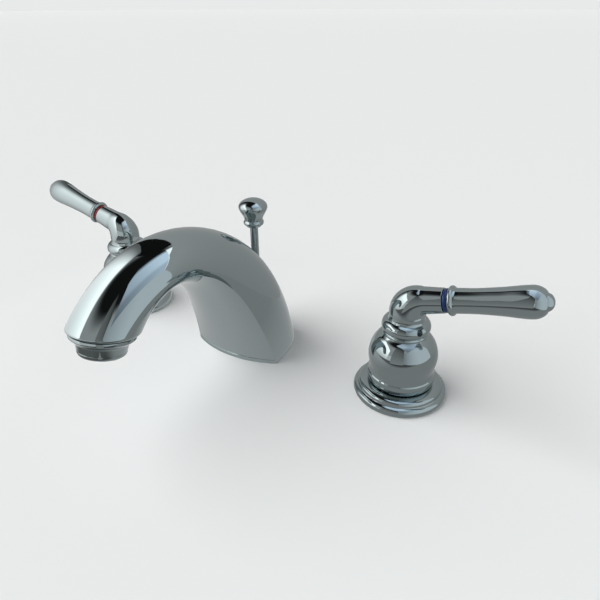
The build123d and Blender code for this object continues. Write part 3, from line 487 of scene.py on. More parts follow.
def closeSpout(piece):
    # round the mouth's edge, then close the foot with its recess and the mouth with the aerator's bore
    work = bmesh.new()
    work.from_mesh(piece.data)
    rounding = spout["mouthRounding"] * mm
    centre = mouthCentre * mm
    for vertex in work.verts:
        inside = (vertex.co - centre).dot(-outlet)
        if -1e-5 < inside < rounding and (vertex.co - centre).length < spout["mouthClear"] * mm:
            radial = vertex.co - centre + outlet * inside
            vertex.co -= radial.normalized() * (rounding - sqrt(max(rounding**2 - (rounding - inside) ** 2, 0)))
    openEdges = [edge for edge in work.edges if edge.is_boundary]
    footEdges = [e for e in openEdges if max(v.co.z for v in e.verts) < 1e-4]

    def ringOf(edges):
        ring, left = [edges[0].verts[0]], set(edges)
        while left:
            edge = next(e for e in ring[-1].link_edges if e in left)
            left.discard(edge)
            ring.append(edge.other_vert(ring[-1]))
        return ring[:-1]

    def carryOn(ring, targets):
        new = [work.verts.new(p) for p in targets]
        for i in range(len(ring)):
            j = (i + 1) % len(ring)
            work.faces.new((ring[i], ring[j], new[j], new[i]))
        return new

    foot, ring = ringOf(footEdges), ringOf([e for e in openEdges if e not in footEdges])
    flat = [v.co.xy for v in foot]
    area = sum(a.x * b.y - b.x * a.y for a, b in zip(flat, flat[1:] + flat[:1]))
    wallRing = []
    for i, p in enumerate(flat):
        run = (flat[(i + 1) % len(flat)] - flat[i - 1]).normalized()
        inwards = Vector((-run.y, run.x)) * (1 if area > 0 else -1)
        wallRing.append(p + inwards * spout["wall"] * mm)
    rim = carryOn(foot, [Vector((p.x, p.y, 0)) for p in wallRing])
    work.faces.new(carryOn(rim, [Vector((p.x, p.y, spout["plateTop"] * mm)) for p in wallRing]))
    for inside in (0, spout["boreDepth"]):
        spots = []
        for v in ring:
            radial = v.co - centre
            radial -= outlet * radial.dot(outlet)
            spots.append(centre + radial.normalized() * spout["boreRadius"] * mm - outlet * inside * mm)
        ring = carryOn(ring, spots)
    work.faces.new(ring)
    work.to_mesh(piece.data)
    work.free()


closeSpout(skin)
skin.name = "spoutBody"
polishMesh(skin.data)
rodSpot = Vector((0, spout["rodSetback"], 0))
drill(skin, rodSpot + up * spout["holeStart"], up, spout["rodHole"], spout["holeDepth"], sideX)
creaseWork = bmesh.new()  # a crisp line where the belly leaves the rim, and along the ridge while it can be felt
creaseWork.from_mesh(skin.data)
for edge in creaseWork.edges:
    onRim = all(abs(v.co.z - spout["footRim"] * mm) < 2e-5 for v in edge.verts)
    clearOfMouth = min((v.co - mouthCentre * mm).length for v in edge.verts) > spout["mouthClear"] * mm
    least = radians(spout["rimCrease"] if onRim else spout["ridgeCrease"])
    if edge.calc_face_angle(0) > least and (onRim or clearOfMouth):
        edge.smooth = False
creaseWork.to_mesh(skin.data)
creaseWork.free()
dress(skin, "chrome", "fixed_parts", "spout_body")
print("spout made:", len(skin.data.polygons), "faces")


# Aerator: a turned cup under the mouth, with a honeycomb jet insert
aerator = {
    "threadRadius": 11.8, "threadLength": 4.8, "groove": 0.6, "collarRadius": 14.3, "collarHeight": 1.5,
    "slope": 2.6, "slopeFoot": 0.4, "cupRadius": 11.4, "cupWaist": 10.7, "cupRounding": 2.4, "cupEnd": 10.4,
    "lipRadius": 8.8, "wall": 1.6, "screenRecess": 2.6, "insertHeight": 8.0, "insertGap": 0.03, "dishRadius": 8.7,
    "cell": 1.9, "cellDepth": 2.2, "cellWall": 0.22, "cellsAcross": 13, "faceRadius": 7.6,
}
thread, threadTop, groove = aerator["threadRadius"], aerator["threadLength"], aerator["groove"]
collar, cupRadius = aerator["collarRadius"], aerator["cupRadius"]
waist, lip, cupBottom = aerator["cupWaist"], aerator["lipRadius"], aerator["cupEnd"]
collarFall = groove + aerator["collarHeight"]
cupInner, lipInner = thread - aerator["wall"], lip - aerator["wall"] / 2
screenTop = aerator["screenRecess"] - cupBottom
cupProfile = [
    (cupInner, threadTop), (thread, threadTop), (thread, -groove), (collar, -groove), (collar, -collarFall),
    (cupRadius + aerator["slopeFoot"], aerator["slopeFoot"] - collarFall - aerator["slope"]),
    (cupRadius, -collarFall - aerator["slope"]),
    *arcRun((waist, aerator["cupRounding"] - cupBottom),
            (0.75 * waist + 0.25 * lip, 0.28 * aerator["cupRounding"] - cupBottom), (lip, -cupBottom)),
    (lipInner, -cupBottom), (lipInner, screenTop), (cupInner, screenTop), (cupInner, threadTop)]
cup = place("aeratorCup", turnedMesh("aeratorCup", cupProfile, 0.16, mouthCentre, -outlet, sideX, closed=True))
dress(cup, "chrome", "fixed_parts", "aerator_housing")

# the insert's face: hexagon cells on a staggered grid, kept inside its rim
cellSizes = "cell cellWall cellDepth faceRadius"
tree, known = startTree("jetScreen", Float=cellSizes)
count = aerator["cellsAcross"]
cells = addNode(tree, "GeometryNodeMeshGrid", float(count - 1), float(count - 1), count, count)
for name, operation, *terms in map(str.split, (
    "oddRow PINGPONG Y 1.0",
    "stagger MULTIPLY_ADD oddRow 0.5 X",
    "cellX MULTIPLY stagger cell",
    "rowStep MULTIPLY Y 0.866",
    "cellY MULTIPLY rowStep cell",
    "hexRadius MULTIPLY cell 0.5774",
    "midRadius SUBTRACT hexRadius cellWall",
)):
    takes = [known.get(term) or float(term) for term in terms]
    known[name] = addNode(tree, "ShaderNodeMath", *takes, operation=operation)
cellSpot = addNode(tree, "ShaderNodeCombineXYZ", known["cellX"], known["cellY"])
laid = addNode(tree, "GeometryNodeSetPosition", {"Geometry": cells, "Position": cellSpot})
reach = addNode(tree, "ShaderNodeVectorMath", addNode(tree, "GeometryNodeInputPosition"), operation="LENGTH")
outside = addNode(tree, "ShaderNodeMath", reach.outputs["Value"], known["faceRadius"], operation="GREATER_THAN")
inFace = addNode(tree, "GeometryNodeDeleteGeometry", {"Geometry": laid, "Selection": outside}, domain="POINT")
hexLine = addNode(tree, "GeometryNodeCurvePrimitiveCircle", {
    "Resolution": 6, "Radius": known["midRadius"]}, mode="RADIUS")
wallShape = addNode(tree, "GeometryNodeCurvePrimitiveQuadrilateral", {
    "Width": known["cellWall"], "Height": known["cellDepth"]}, mode="RECTANGLE")
hexCell = addNode(tree, "GeometryNodeCurveToMesh", {"Curve": hexLine, "Profile Curve": wallShape})
pointed = addNode(tree, "GeometryNodeTransform", {"Geometry": hexCell, "Rotation": (0, 0, pi / 6)})
endTree(tree, addNode(tree, "GeometryNodeInstanceOnPoints", {"Points": inFace, "Instance": pointed}), known["finish"])
screen = grow("jetScreen", tree, {**{name: aerator[name] * mm for name in cellSizes.split()}, "finish": mouldedNylon})
faceDown = cupBottom - aerator["screenRecess"]
dishDown = faceDown - aerator["cellDepth"]
insertTop = faceDown - aerator["insertHeight"]
screen.data.transform(Matrix.Translation((mouthCentre + outlet * (faceDown - aerator["cellDepth"] / 2)) * mm)
                      @ Matrix.Rotation(pi - radians(spout["mouthTilt"]), 4, "X"))
insertRadius = cupInner - aerator["insertGap"]
insertProfile = [(0, dishDown), (aerator["dishRadius"], dishDown), (aerator["dishRadius"], faceDown),
                 (insertRadius, faceDown), (insertRadius, insertTop), (0, insertTop)]
insertBody = turnedMesh("jetInsert", insertProfile, 0.1, mouthCentre, outlet, sideX, 64)
insert = place("jetInsert", joined("jetInsert", [insertBody, screen.data]))
bpy.data.objects.remove(screen)
insert.data.set_sharp_from_angle(angle=radians(40))
dress(insert, "nylon", "fixed_parts", "aerator_insert")
print("aerator made")


knob = {
    "seat": 74.4, "radius": 8.4, "crown": 16.8, "equator": 12.0, "waist": 5.3, "waistHeight": 3.9, "flare": 5.7,
    "flareHeight": 5.6, "bead": 6.0, "beadHeight": 2.3, "foot": 4.7, "footHeight": 0.7, "neck": 4.4,
    "rodRadius": 2.38, "rodTop": 84.0, "rodLength": 196.0, "rodEdge": 0.5,
}
waist, widest, crown = (knob["waist"], knob["waistHeight"]), (knob["radius"], knob["equator"]), knob["crown"]
knobProfile = [(0, 0), (knob["neck"], 0)]
knobProfile += arcRun((knob["foot"], knob["footHeight"]), (knob["bead"], knob["beadHeight"]), waist)
knobProfile += splineRun([waist, (knob["flare"], knob["flareHeight"]), widest], (0, 1), (0, 1))[1:]
knobProfile += bezierRun(widest, (widest[0], widest[1] + circleShare * (crown - widest[1])),
                         (circleShare * widest[0], crown), (0, crown))
liftKnob = place("liftKnob", turnedMesh("liftKnob", knobProfile, 0.25, rodSpot + up * knob["seat"], up, sideX))
dress(liftKnob, "chrome", "pull_rod", "lift_knob")
rodRadius, rodLength, rodEdge = knob["rodRadius"], knob["rodLength"], knob["rodEdge"]
rodProfile = [(0, 0), (rodRadius - rodEdge, 0), (rodRadius, rodEdge),
              (rodRadius, rodLength - rodEdge), (rodRadius - rodEdge, rodLength), (0, rodLength)]
rodBottom = rodSpot + up * (knob["rodTop"] - rodLength)
liftRod = place("liftRod", turnedMesh("liftRod", rodProfile, 0.15, rodBottom, up, sideX, 48))
dress(liftRod, "chrome", "pull_rod", "lift_rod")
print("lift rod made")


# Threads: a tube whose outside is a helical ridge
threadLengths = ("radius", "bore", "length", "pitch", "threadDepth")
tree, known = startTree("threadedTube", Float=" ".join(threadLengths), Int="around rows")
for name, operation, *terms in map(str.split, (
    # four rows more than the thread has: the bore's two ends and the seam of the bore
    "rowCount ADD rows 4.0",
    "lastRow ADD rows 3.0",
    "upShare ADD Y 0.5",
    "row MULTIPLY upShare lastRow",
    "threadRow SUBTRACT row 1.0",
    "rowShare DIVIDE threadRow rows",
    "seamRow SUBTRACT lastRow 0.5",
    "beforeSeam LESS_THAN row seamRow",
    "level MULTIPLY rowShare beforeSeam",
    "levelUp MULTIPLY level length",
    "windings DIVIDE levelUp pitch",
    "phase SUBTRACT windings X",
    "groove PINGPONG phase 0.5",
    "rooted MULTIPLY groove 2.0",
    "endGap SUBTRACT length levelUp",
    "nearEnd MINIMUM endGap levelUp",
    "lead DIVIDE nearEnd pitch",
    "afterFirst GREATER_THAN row 0.5",
    "boreRow SUBTRACT lastRow 1.5",
    "beforeBore LESS_THAN row boreRow",
    "onThread MULTIPLY afterFirst beforeBore",
    "turned MULTIPLY X 6.283185307179586",
    "cosine COSINE turned",
    "sine SINE turned",
)):
    takes = [known.get(term) or float(term) for term in terms]
    known[name] = addNode(tree, "ShaderNodeMath", *takes, operation=operation, use_clamp=name in ("rowShare", "lead"))
# full ridge one pitch in from the ends, turned down to the root at the very end
led = addNode(tree, "ShaderNodeMix", {0: known["lead"], 2: 1.0, 3: known["rooted"]}, data_type="FLOAT")
cutIn = addNode(tree, "ShaderNodeMath", led, known["threadDepth"], operation="MULTIPLY")
outerRadius = addNode(tree, "ShaderNodeMath", known["radius"], cutIn, operation="SUBTRACT")
tubeRadius = addNode(tree, "GeometryNodeSwitch", {
    "Switch": known["onThread"], "False": known["bore"], "True": outerRadius}, input_type="FLOAT")
ringX = addNode(tree, "ShaderNodeMath", known["cosine"], tubeRadius, operation="MULTIPLY")
ringY = addNode(tree, "ShaderNodeMath", known["sine"], tubeRadius, operation="MULTIPLY")
ringSpot = addNode(tree, "ShaderNodeCombineXYZ", ringX, ringY, known["levelUp"])
tube = addNode(tree, "GeometryNodeMeshGrid", 1.0, 1.0, known["around"], known["rowCount"])
wound = addNode(tree, "GeometryNodeSetPosition", {"Geometry": tube, "Position": ringSpot})
endTree(tree, addNode(tree, "GeometryNodeMergeByDistance", {"Geometry": wound, "Distance": 1e-6}), known["finish"])
threadTree = tree


def threadedTube(start, axis, radius, bore, length, pitch, depthShare=0.55, around=64, rowsPerPitch=7):
    # from the start point along the axis, the crests at the pipe's own radius
    sizes = zip(threadLengths, (radius, bore, length, pitch, depthShare * pitch))
    made = grow("thread", threadTree, {
        **{name: size * mm for name, size in sizes}, "around": around + 1, "rows": int(length / pitch * rowsPerPitch),
        "finish": turnedBrass})
    mesh = made.data
    bpy.data.objects.remove(made)
    mesh.transform(Matrix.Translation(start * mm) @ up.rotation_difference(axis).to_matrix().to_4x4())
    return polishMesh(mesh, 75)


overlap = 0.5  # how far a threaded tube reaches into the casting it stands on
shank = {"setback": -6.0, "radius": 8.57, "bore": 5.5, "top": 6.0, "length": 54.0, "pitch": 1.8}
tee = {
    "radius": 11.0, "height": 20.0, "edge": 1.0, "top": -39.0, "axisZ": -50.36, "shoulderStart": 6.0,
    "shoulderRadius": 8.2, "shoulderReach": 13.0, "nippleRadius": 7.14, "nippleBore": 4.6, "reach": 25.0, "pitch": 1.4,
    "grip": 9.0, "gripGap": 0.03,
}


def hoseOutlet(name, middle, way, start, radius, reach, end):
    # a round shoulder on a casting, and the thread for a hose beyond it
    shoulder = [(0, start), (radius, start), (radius, reach), (0, reach)]
    return [turnedMesh(name, shoulder, 0.2, middle, way, up, 72),
            threadedTube(middle + way * (reach - overlap), way, tee["nippleRadius"], tee["nippleBore"],
                         end - reach + overlap, tee["pitch"])]


shankSpot = Vector((0, shank["setback"], shank["top"] - shank["length"]))
spoutShank = place("spoutShank", threadedTube(
    shankSpot, up, shank["radius"], shank["bore"], shank["length"], shank["pitch"]))
dress(spoutShank, "brass", "fixed_parts", "spout_shank")

teeBottom = Vector((0, shank["setback"], tee["top"] - tee["height"]))
teeMiddle = Vector((0, shank["setback"], tee["axisZ"]))
gripRadius, gripFoot = shank["radius"] + tee["gripGap"], tee["height"] - tee["grip"]
teeRadius, teeTop, edge = tee["radius"], tee["height"], tee["edge"]
teeProfile = [(0, 0), (teeRadius - edge, 0), (teeRadius, edge), (teeRadius, teeTop - edge), (teeRadius - edge, teeTop),
              (gripRadius, teeTop), (gripRadius, gripFoot), (0, gripFoot)]
teeMeshes = [turnedMesh("tee", teeProfile, 0.25, teeBottom, up, sideX, 72)]
for way in (-sideX, sideX):
    teeMeshes += hoseOutlet("teeShoulder", teeMiddle, way, tee["shoulderStart"], tee["shoulderRadius"],
                            tee["shoulderReach"], tee["reach"])
hoseTee = place("hoseTee", joined("hoseTee", teeMeshes))
hoseTee.data.set_sharp_from_angle(angle=radians(50))
dress(hoseTee, "brass", "fixed_parts", "hose_tee")
print("shank and tee made")


escutcheon = {
    "radius": 25.5, "footRounding": 0.8, "stepRadius": 22.9, "stepHeight": 4.7, "edge": 0.3, "dome": 1.8, "height": 7.9,
    "shoulderRadius": 18.2, "holeRadius": 15.2, "wall": 2.2,
}
hub = {
    "foot": 8.4, "gap": 0.5, "footRadius": 17.3, "beadRadius": 18.4, "beadHeight": 12.8, "beadTop": 14.0,
    "grooveHeight": 14.7, "grooveRadius": 17.9, "waistRadius": 17.5, "waistHeight": 17.2,
    "ballRadius": 18.5, "ballHeight": 25.8, "ballHalf": 15.0, "ballTurn": 33.0, "ballTop": 37.0, "shoulderRadius": 12.6,
    "ringRadius": 12.1, "neckGroove": 11.5, "neckGrooveHeight": 37.9, "neckHeight": 39.9,
    "collarStart": 40.4, "collarRadius": 12.85, "collarHeight": 42.5, "collarTop": 46.7, "cove": 0.5, "neckRadius": 9.5,
    "wall": 3.4, "cavityTop": 21.0, "socketStart": 28.0, "socketTop": 47.4, "socketRadius": 4.03, "socketWall": 4.5,
}
lever = {
    "spread": 203.2, "height": 57.4, "rise": 15.05, "toeIn": 0.3, "bendStart": 50.0, "bendEnd": 8.0,
    "elbowRadius": 7.05, "endRadius": 6.4, "indexStart": 18.7, "indexWidth": 2.4, "indexRadius": 6.15, "indexEdge": 0.5,
    "beadPeak": 22.6, "beadHalf": 1.3, "beadRadius": 7.55, "beadFoot": 6.6, "gripStart": 24.8, "startRadius": 6.34,
    "slimRadius": 6.24, "slim": 33.0, "fatRadius": 7.88, "fat": 59.0, "gripEnd": 65.1, "buttonRadius": 4.3,
    "buttonStep": 0.3, "tip": 68.0, "studRadius": 3.6, "studLength": 12.0, "bendSteps": 40,
    "screwRadius": 1.63, "screwHeight": 44.4, "screwAzimuth": -37.0, "screwInner": 9.0, "screwDepth": 8.0,
}
valve = {
    "shankRadius": 13.2, "shankTop": 5.0, "bodyTop": -46.0, "bodyHeight": 21.0, "apothem": 15.5,
    "inletRadius": 10.48, "inletBore": 6.4, "inletLength": 22.0, "shankBore": 9.23, "pitch": 1.8,
    "edge": 1.0, "outletShoulder": 8.6, "shoulderStart": 12.0, "shoulderReach": 16.5, "outletReach": 29.5,
}

step, stepTop, plateTop = escutcheon["stepRadius"], escutcheon["stepHeight"], escutcheon["height"]
edge, wall, hole = escutcheon["edge"], escutcheon["wall"], escutcheon["holeRadius"]
plateFoot = escutcheon["radius"] - escutcheon["footRounding"]
plateProfile = [(plateFoot - wall, 0)]
plateProfile += arcRun((plateFoot, 0), (escutcheon["radius"], stepTop / 2), (step + edge, stepTop))
plateProfile += bezierRun((step, stepTop + edge), (step, plateTop - 2 * edge), (step - escutcheon["dome"], plateTop),
                          (escutcheon["shoulderRadius"], plateTop))
plateProfile += [(hole, plateTop), (hole, plateTop - wall), (step - wall, plateTop - wall),
                 (plateFoot - wall, stepTop - wall), (plateFoot - wall, 0)]

cavity, socket, bead = hub["footRadius"] - hub["wall"], hub["socketRadius"], hub["beadRadius"]
ring, groove, neck, coveTop = hub["ringRadius"], hub["neckGroove"], hub["neckRadius"], hub["collarTop"]
grooveFoot, grooveTop = hub["neckGrooveHeight"], hub["neckHeight"]
ballTurnRadius = hub["ballRadius"] * sqrt(1 - ((hub["ballTurn"] - hub["ballHeight"]) / hub["ballHalf"]) ** 2)
hubProfile = [(0, hub["socketTop"]), (socket, hub["socketTop"]), (socket, hub["socketStart"]),
              (socket + hub["socketWall"], hub["socketStart"]), (cavity, hub["cavityTop"]), (cavity, hub["foot"])]
hubProfile += bezierRun((hub["footRadius"], hub["foot"]), (bead, hub["foot"] + hub["gap"]), (bead, hub["beadHeight"]),
                        (bead, hub["beadTop"])) + [(hub["grooveRadius"], hub["grooveHeight"])]
hubProfile += splineRun([(hub["waistRadius"], hub["waistHeight"]), (hub["ballRadius"], hub["ballHeight"]),
                         (ballTurnRadius, hub["ballTurn"]), (hub["shoulderRadius"], hub["ballTop"])],
                        (0.1, 1), (-1, 0.55), 20)
hubProfile += arcRun((groove, grooveFoot), (ring, (grooveFoot + grooveTop) / 2), (groove, grooveTop))
hubProfile += arcRun((ring, hub["collarStart"]), (hub["collarRadius"], hub["collarHeight"]),
                     (neck + hub["cove"], coveTop), 24)
hubProfile += arcRun((neck + hub["cove"], coveTop),
                     (neck + 0.3 * hub["cove"], 0.75 * coveTop + 0.25 * lever["bendStart"]),
                     (neck, lever["bendStart"]))[1:]

indexEnd, beadPeak, beadHalf = lever["indexStart"] + lever["indexWidth"], lever["beadPeak"], lever["beadHalf"]
slim, fat, button = (lever["slimRadius"], lever["slim"]), (lever["fatRadius"], lever["fat"]), lever["buttonRadius"]
gripProfile = [(0, indexEnd), (lever["endRadius"], indexEnd)]
gripProfile += arcRun((lever["beadFoot"], beadPeak - beadHalf), (lever["beadRadius"], beadPeak),
                      (lever["beadFoot"], beadPeak + beadHalf))
gripProfile += splineRun([
    (lever["startRadius"], lever["gripStart"]), slim, (0.62 * slim[0] + 0.38 * fat[0], (slim[1] + fat[1]) / 2), fat],
    (-0.02, 1), (0, 1))
gripProfile += splineRun([fat, (button + lever["buttonStep"], lever["gripEnd"])], (0, 1), (-1, 0.45), 16)[1:]
gripProfile += bezierRun((button, lever["gripEnd"] + lever["buttonStep"] / 2),
                         (0.9 * button, (lever["gripEnd"] + lever["tip"]) / 2), (0.6 * button, lever["tip"]),
                         (0, lever["tip"]))

stud, indexWidth, indexFoot = lever["studRadius"], lever["indexWidth"], lever["indexRadius"] - lever["indexEdge"]
ringProfile = [(stud, 0), *arcRun((indexFoot, 0), (lever["indexRadius"], indexWidth / 2), (indexFoot, indexWidth)),
               (stud, indexWidth), (stud, 0)]

rise, toeIn, elbow = radians(lever["rise"]), radians(lever["toeIn"]), lever["elbowRadius"]
for hand, name in ((-1, "hot"), (1, "cold")):
    stem = Vector((hand * lever["spread"] / 2, 0, 0))
    outward = Vector((hand * cos(toeIn), -sin(toeIn), 0))
    lateral = up.cross(outward)
    leverWay = outward * cos(rise) + up * sin(rise)
    leverUp = up * cos(rise) - outward * sin(rise)
    leverStart = stem + up * lever["height"]
    plateMesh = turnedMesh("escutcheon", plateProfile, 0.3, stem, up, outward, 128, closed=True)
    plate = place(f"{name}Escutcheon", plateMesh)
    dress(plate, "chrome", "fixed_parts", f"{name}_escutcheon")

    # hub: turned rings up to the neck, then round sections fanned about a line near the crotch of the bend
    rings = turnedRings(easedProfile(hubProfile, 0.28), stem, up, outward)
    bendEnd = leverStart + leverWay * lever["bendEnd"]
    fanReach = (bendEnd.z - lever["bendStart"]) / cos(rise)
    fanCentre = bendEnd - leverUp * fanReach
    fanStart = (fanCentre - stem - up * lever["bendStart"]).length
    for step in range(1, lever["bendSteps"] + 1):
        share = step / lever["bendSteps"]
        turn = share * (pi / 2 - rise)
        radius = elbow + (neck - elbow) * cos(pi / 2 * share)
        crotch = (fanStart - neck) * (1 - share) + (fanReach - elbow) * share
        spoke = up * sin(turn) - outward * cos(turn)
        centre = fanCentre + spoke * (crotch + radius)
        rings += turnedRings([(radius, 0)], centre, lateral.cross(spoke), -spoke)
    studEnd = lever["indexStart"] + lever["studLength"]
    limb = [(elbow, lever["bendEnd"]), (lever["endRadius"], lever["indexStart"]), (stud, lever["indexStart"]),
            (stud, studEnd), (0, studEnd)]
    rings += turnedRings(easedProfile(limb, 0.2)[1:], leverStart, leverWay, -leverUp)
    handle = place(f"{name}HandleHub", polishMesh(skinMesh("handleHub", rings)))
    screwWay = Matrix.Rotation(radians(lever["screwAzimuth"]), 3, "Z") @ outward
    screwSpot = stem + up * lever["screwHeight"] + screwWay * lever["screwInner"]
    drill(handle, screwSpot, screwWay, lever["screwRadius"], lever["screwDepth"], up)
    dress(handle, "chrome", f"{name}_handle", f"{name}_handle_hub")

    grip = place(f"{name}LeverGrip", turnedMesh("leverGrip", gripProfile, 0.25, leverStart, leverWay, -leverUp))
    dress(grip, "chrome", f"{name}_handle", f"{name}_lever_grip")

    ringBase = leverStart + leverWay * lever["indexStart"]
    ringMesh = turnedMesh("indexRing", ringProfile, 0.2, ringBase, leverWay, -leverUp, closed=True)
    ring = place(f"{name}IndexRing", ringMesh)
    dress(ring, f"{name}_index", f"{name}_handle", f"{name}_index_ring")

    # valve: threaded shank and inlet, an eight-sided body and the threaded outlet towards the spout
    bodyHeight, edge = valve["bodyHeight"], valve["edge"]
    bodyBottom = stem + up * (valve["bodyTop"] - bodyHeight)
    valveMeshes = [
        threadedTube(stem + up * (valve["bodyTop"] - overlap), up, valve["shankRadius"], valve["shankBore"],
                     valve["shankTop"] - valve["bodyTop"] + overlap, valve["pitch"]),
        threadedTube(bodyBottom + up * overlap, -up, valve["inletRadius"], valve["inletBore"],
                     valve["inletLength"] + overlap, valve["pitch"]),
        *hoseOutlet("valveShoulder", bodyBottom + up * bodyHeight / 2, sideX * -hand, valve["shoulderStart"],
                    valve["outletShoulder"], valve["shoulderReach"], valve["outletReach"])]
    corner = valve["apothem"] / cos(pi / 8)
    block = [[bodyBottom]]
    for level, inset in ((0, edge), (edge, 0), (bodyHeight - edge, 0), (bodyHeight, edge)):
        block.append([bodyBottom + up * level + Vector((cos(pi / 8 + pi / 4 * i), sin(pi / 8 + pi / 4 * i), 0))
                      * (corner - inset) for i in range(8)])
    block.append([bodyBottom + up * bodyHeight])
    valveMeshes.append(polishMesh(skinMesh("valveBlock", block), 20))
    valveBody = place(f"{name}ValveBody", joined("valveBody", valveMeshes))
    valveBody.data.set_sharp_from_angle(angle=radians(38))
    dress(valveBody, "brass", "fixed_parts", f"{name}_valve_body")
    print(f"{name} handle and valve made")


studio = {
    "floorColour": "#eef0f0", "floorReach": 14.0, "wallColour": "#e8eaea", "wallShare": 0.96, "wallHeight": 4.0,
    "farGrey": 0.5, "ceilingGrey": 0.012, "ceilingFrom": 0.71, "ceilingTo": 0.88,
    "fillStrength": 3.1, "fillSpread": 70.0, "fillFrom": (-0.62, -0.42, 0.62),
}
reach = studio["floorReach"]
floorMesh = bpy.data.meshes.new("deckFloor")
floorMesh.from_pydata(
    [(-reach, -reach, 0), (reach, -reach, 0), (reach, reach, 0), (-reach, reach, 0)], [], [(0, 1, 2, 3)])
floor = place("deckFloor", floorMesh)
floor.data.materials.append(makeFinish("paleFloor", studio["floorColour"], roughness=0.9)[0])

# a pale wall round the floor, so the floor ends in its own tone: camera and chrome see it, but it lights nothing
wallRadius = studio["wallShare"] * reach / mm
wallRings = turnedRings([(wallRadius, 0), (wallRadius, studio["wallHeight"] / mm)], Vector((0, 0, 0)), up, sideX)
wall = place("paleWall", skinMesh("paleWall", wallRings))
wall.data.materials.append(glowing("paleWall", studio["wallColour"])[0])
wall.visible_diffuse = wall.visible_shadow = False

# grey walls far off, under a dark ceiling
world = bpy.data.worlds.new("studio")
bpy.context.scene.world = world
world.use_nodes = True
tree = world.node_tree
tree.nodes.clear()
way = addNode(tree, "ShaderNodeSeparateXYZ", addNode(tree, "ShaderNodeTexCoord").outputs["Generated"])
sky = addNode(tree, "ShaderNodeMapRange", {
    "Value": way.outputs["Z"], "From Min": studio["ceilingFrom"], "From Max": studio["ceilingTo"],
    "To Min": studio["farGrey"], "To Max": studio["ceilingGrey"]}, interpolation_type="SMOOTHSTEP")
addNode(tree, "ShaderNodeOutputWorld", addNode(tree, "ShaderNodeBackground", {"Color": sky, "Strength": 1.0}))

# Light and dark panels close round the faucet, seen only in its chrome. Each has its outline in millimetres, how
# bright it looks at two heights along a direction, edges towards which it fades away, and its colour if not white
panels = {
    "leftPanel": {
        "outline": [(-180, -450, 0), (-180, 40, 0), (-180, 40, 350), (-180, -450, 350)],
        "levels": ((0, 0, 1), 0, 0.92, 270, 2.4), "fades": [((0, -1, 0), -38, 0.1, 60), ((0, 0, -1), -350, 0.1, -300)]},
    "rightPanel": {
        "outline": [(337, -600, 0), (337, 100, 0), (337, 100, 448), (337, -600, 448)], "colour": "#e8f0f6",
        "levels": ((0, 1, 0), -450, 0.5, -80, 1.0)},
    "ceilingPanel": {
        "outline": [(0, 96, 360), (0, -60, 360), (47, -125, 360), (215, -242, 360), (337, -320, 360), (337, 96, 360)],
        "colour": "#dae9fb", "levels": ((0, 1, 0), -240, 0.6, 60, 1.6),
        "fades": [((1, 0, 0), -5, 0.1, 40), ((-1, 0, 0), -220, 0.68, -130)]},
    "backPanel": {
        "outline": [(-15, 96, 360), (337, 96, 360), (337, 153, 360), (-15, 153, 360)],
        "levels": ((0, 1, 0), 96, 2.0, 153, 2.4), "fades": [((1, 0, 0), -15, 0.1, 15)]},
    "backdrop": {
        "outline": [(337, 100, 0), (337, 100, 448), (105, 100, 368), (0, 100, 306), (-101, 100, 266), (-160, 100, 235),
                    (-210, 100, 190), (-250, 100, 130), (-285, 100, 36), (-290, 100, 0)],
        "levels": ((0, 0, 1), 0, 0.4, 260, 0.53)},
    "backGap": {
        "outline": [(-500, 115, 0), (-40, 115, 0), (-40, 115, 600), (-500, 115, 600)],
        "levels": ((0, 0, 1), 0, 0.06, 200, 0.01)},
    # a glowing sheet just above the floor, seen only in the chrome in place of the floor, with painted shade in it:
    # darker towards the right and towards the front
    "floorShadePanel": {
        "outline": [(-178, -900, 0.4), (337, -900, 0.4), (337, 100, 0.4), (-178, 100, 0.4)],
        "levels": ((1, 0, 0), 0, 0.58, 80, 0.37), "fades": [((0, 1, 0), -165, 0.3, -95)]},
    "cameraSide": {
        "outline": [(40, -183, 0), (222, -301, 0), (222, -301, 400), (40, -183, 400)],
        "levels": ((0, 0, 1), 0, 0.4, 400, 0.04)},
}
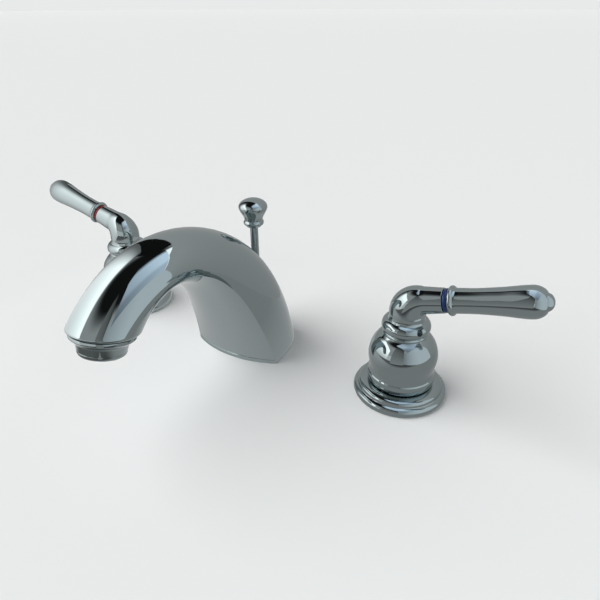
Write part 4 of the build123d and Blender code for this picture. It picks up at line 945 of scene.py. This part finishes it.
for name, lit in panels.items():
    panelMesh = bpy.data.meshes.new(name)
    panelMesh.from_pydata([Vector(point) * mm for point in lit["outline"]], [], [range(len(lit["outline"]))])
    panel = place(name, panelMesh)
    panelFinish, tree, light = glowing(name, lit.get("colour", "#ffffff"))
    along, start, startLevel, stop, stopLevel = lit["levels"]
    spot = addNode(tree, "ShaderNodeTexCoord").outputs["Object"]
    run = addNode(tree, "ShaderNodeVectorMath", spot, along, operation="DOT_PRODUCT")
    strength = addNode(tree, "ShaderNodeMapRange", {
        "Value": run.outputs["Value"], "From Min": start * mm, "From Max": stop * mm,
        "To Min": startLevel, "To Max": stopLevel})
    for along, start, least, stop in lit.get("fades", ()):
        run = addNode(tree, "ShaderNodeVectorMath", spot, along, operation="DOT_PRODUCT")
        fade = addNode(tree, "ShaderNodeMapRange", {
            "Value": run.outputs["Value"], "From Min": start * mm, "From Max": stop * mm, "To Min": least},
            interpolation_type="SMOOTHSTEP")
        strength = addNode(tree, "ShaderNodeMath", strength, fade, operation="MULTIPLY")
    tree.links.new(strength.outputs[0], light.inputs["Strength"])
    panelMesh.materials.append(panelFinish)
    panel.visible_camera = panel.visible_diffuse = panel.visible_shadow = panel.visible_transmission = False

# soft light from the upper left for the floor, the rings and the brass, too even to be a shape in the chrome
fill = place("softKey", bpy.data.lights.new("softKey", "SUN"))
fill.data.energy, fill.data.angle = studio["fillStrength"], radians(studio["fillSpread"])
fill.rotation_euler = Vector(studio["fillFrom"]).to_track_quat("Z", "Y").to_euler()
fill.visible_glossy = False

# Camera at the photograph's place, for its 600 x 600 frame
view = {
    "spot": (170.04, -228.23, 190.96), "azimuth": 30.03, "pitch": 29.77, "roll": -0.16, "focalPixels": 523.3,
    "centre": (301.45, 298.69), "frame": 600, "sensor": 36.0,
}
lens = bpy.data.cameras.new("photoCamera")
lens.sensor_fit, lens.sensor_width = "HORIZONTAL", view["sensor"]
lens.lens = view["focalPixels"] / view["frame"] * view["sensor"]
lens.shift_x = -(view["centre"][0] - view["frame"] / 2) / view["frame"]
lens.shift_y = (view["centre"][1] - view["frame"] / 2) / view["frame"]
lens.clip_start, lens.clip_end = 0.01, 50.0
camera = place("photoCamera", lens)
camera.matrix_world = (
    Matrix.Translation(Vector(view["spot"]) * mm) @ Matrix.Rotation(radians(view["azimuth"]), 4, "Z")
    @ Matrix.Rotation(radians(90 - view["pitch"]), 4, "X") @ Matrix.Rotation(radians(view["roll"]), 4, "Z"))
bpy.context.scene.camera = camera
bpy.context.scene.view_settings.view_transform = "Standard"
print("studio and camera made")
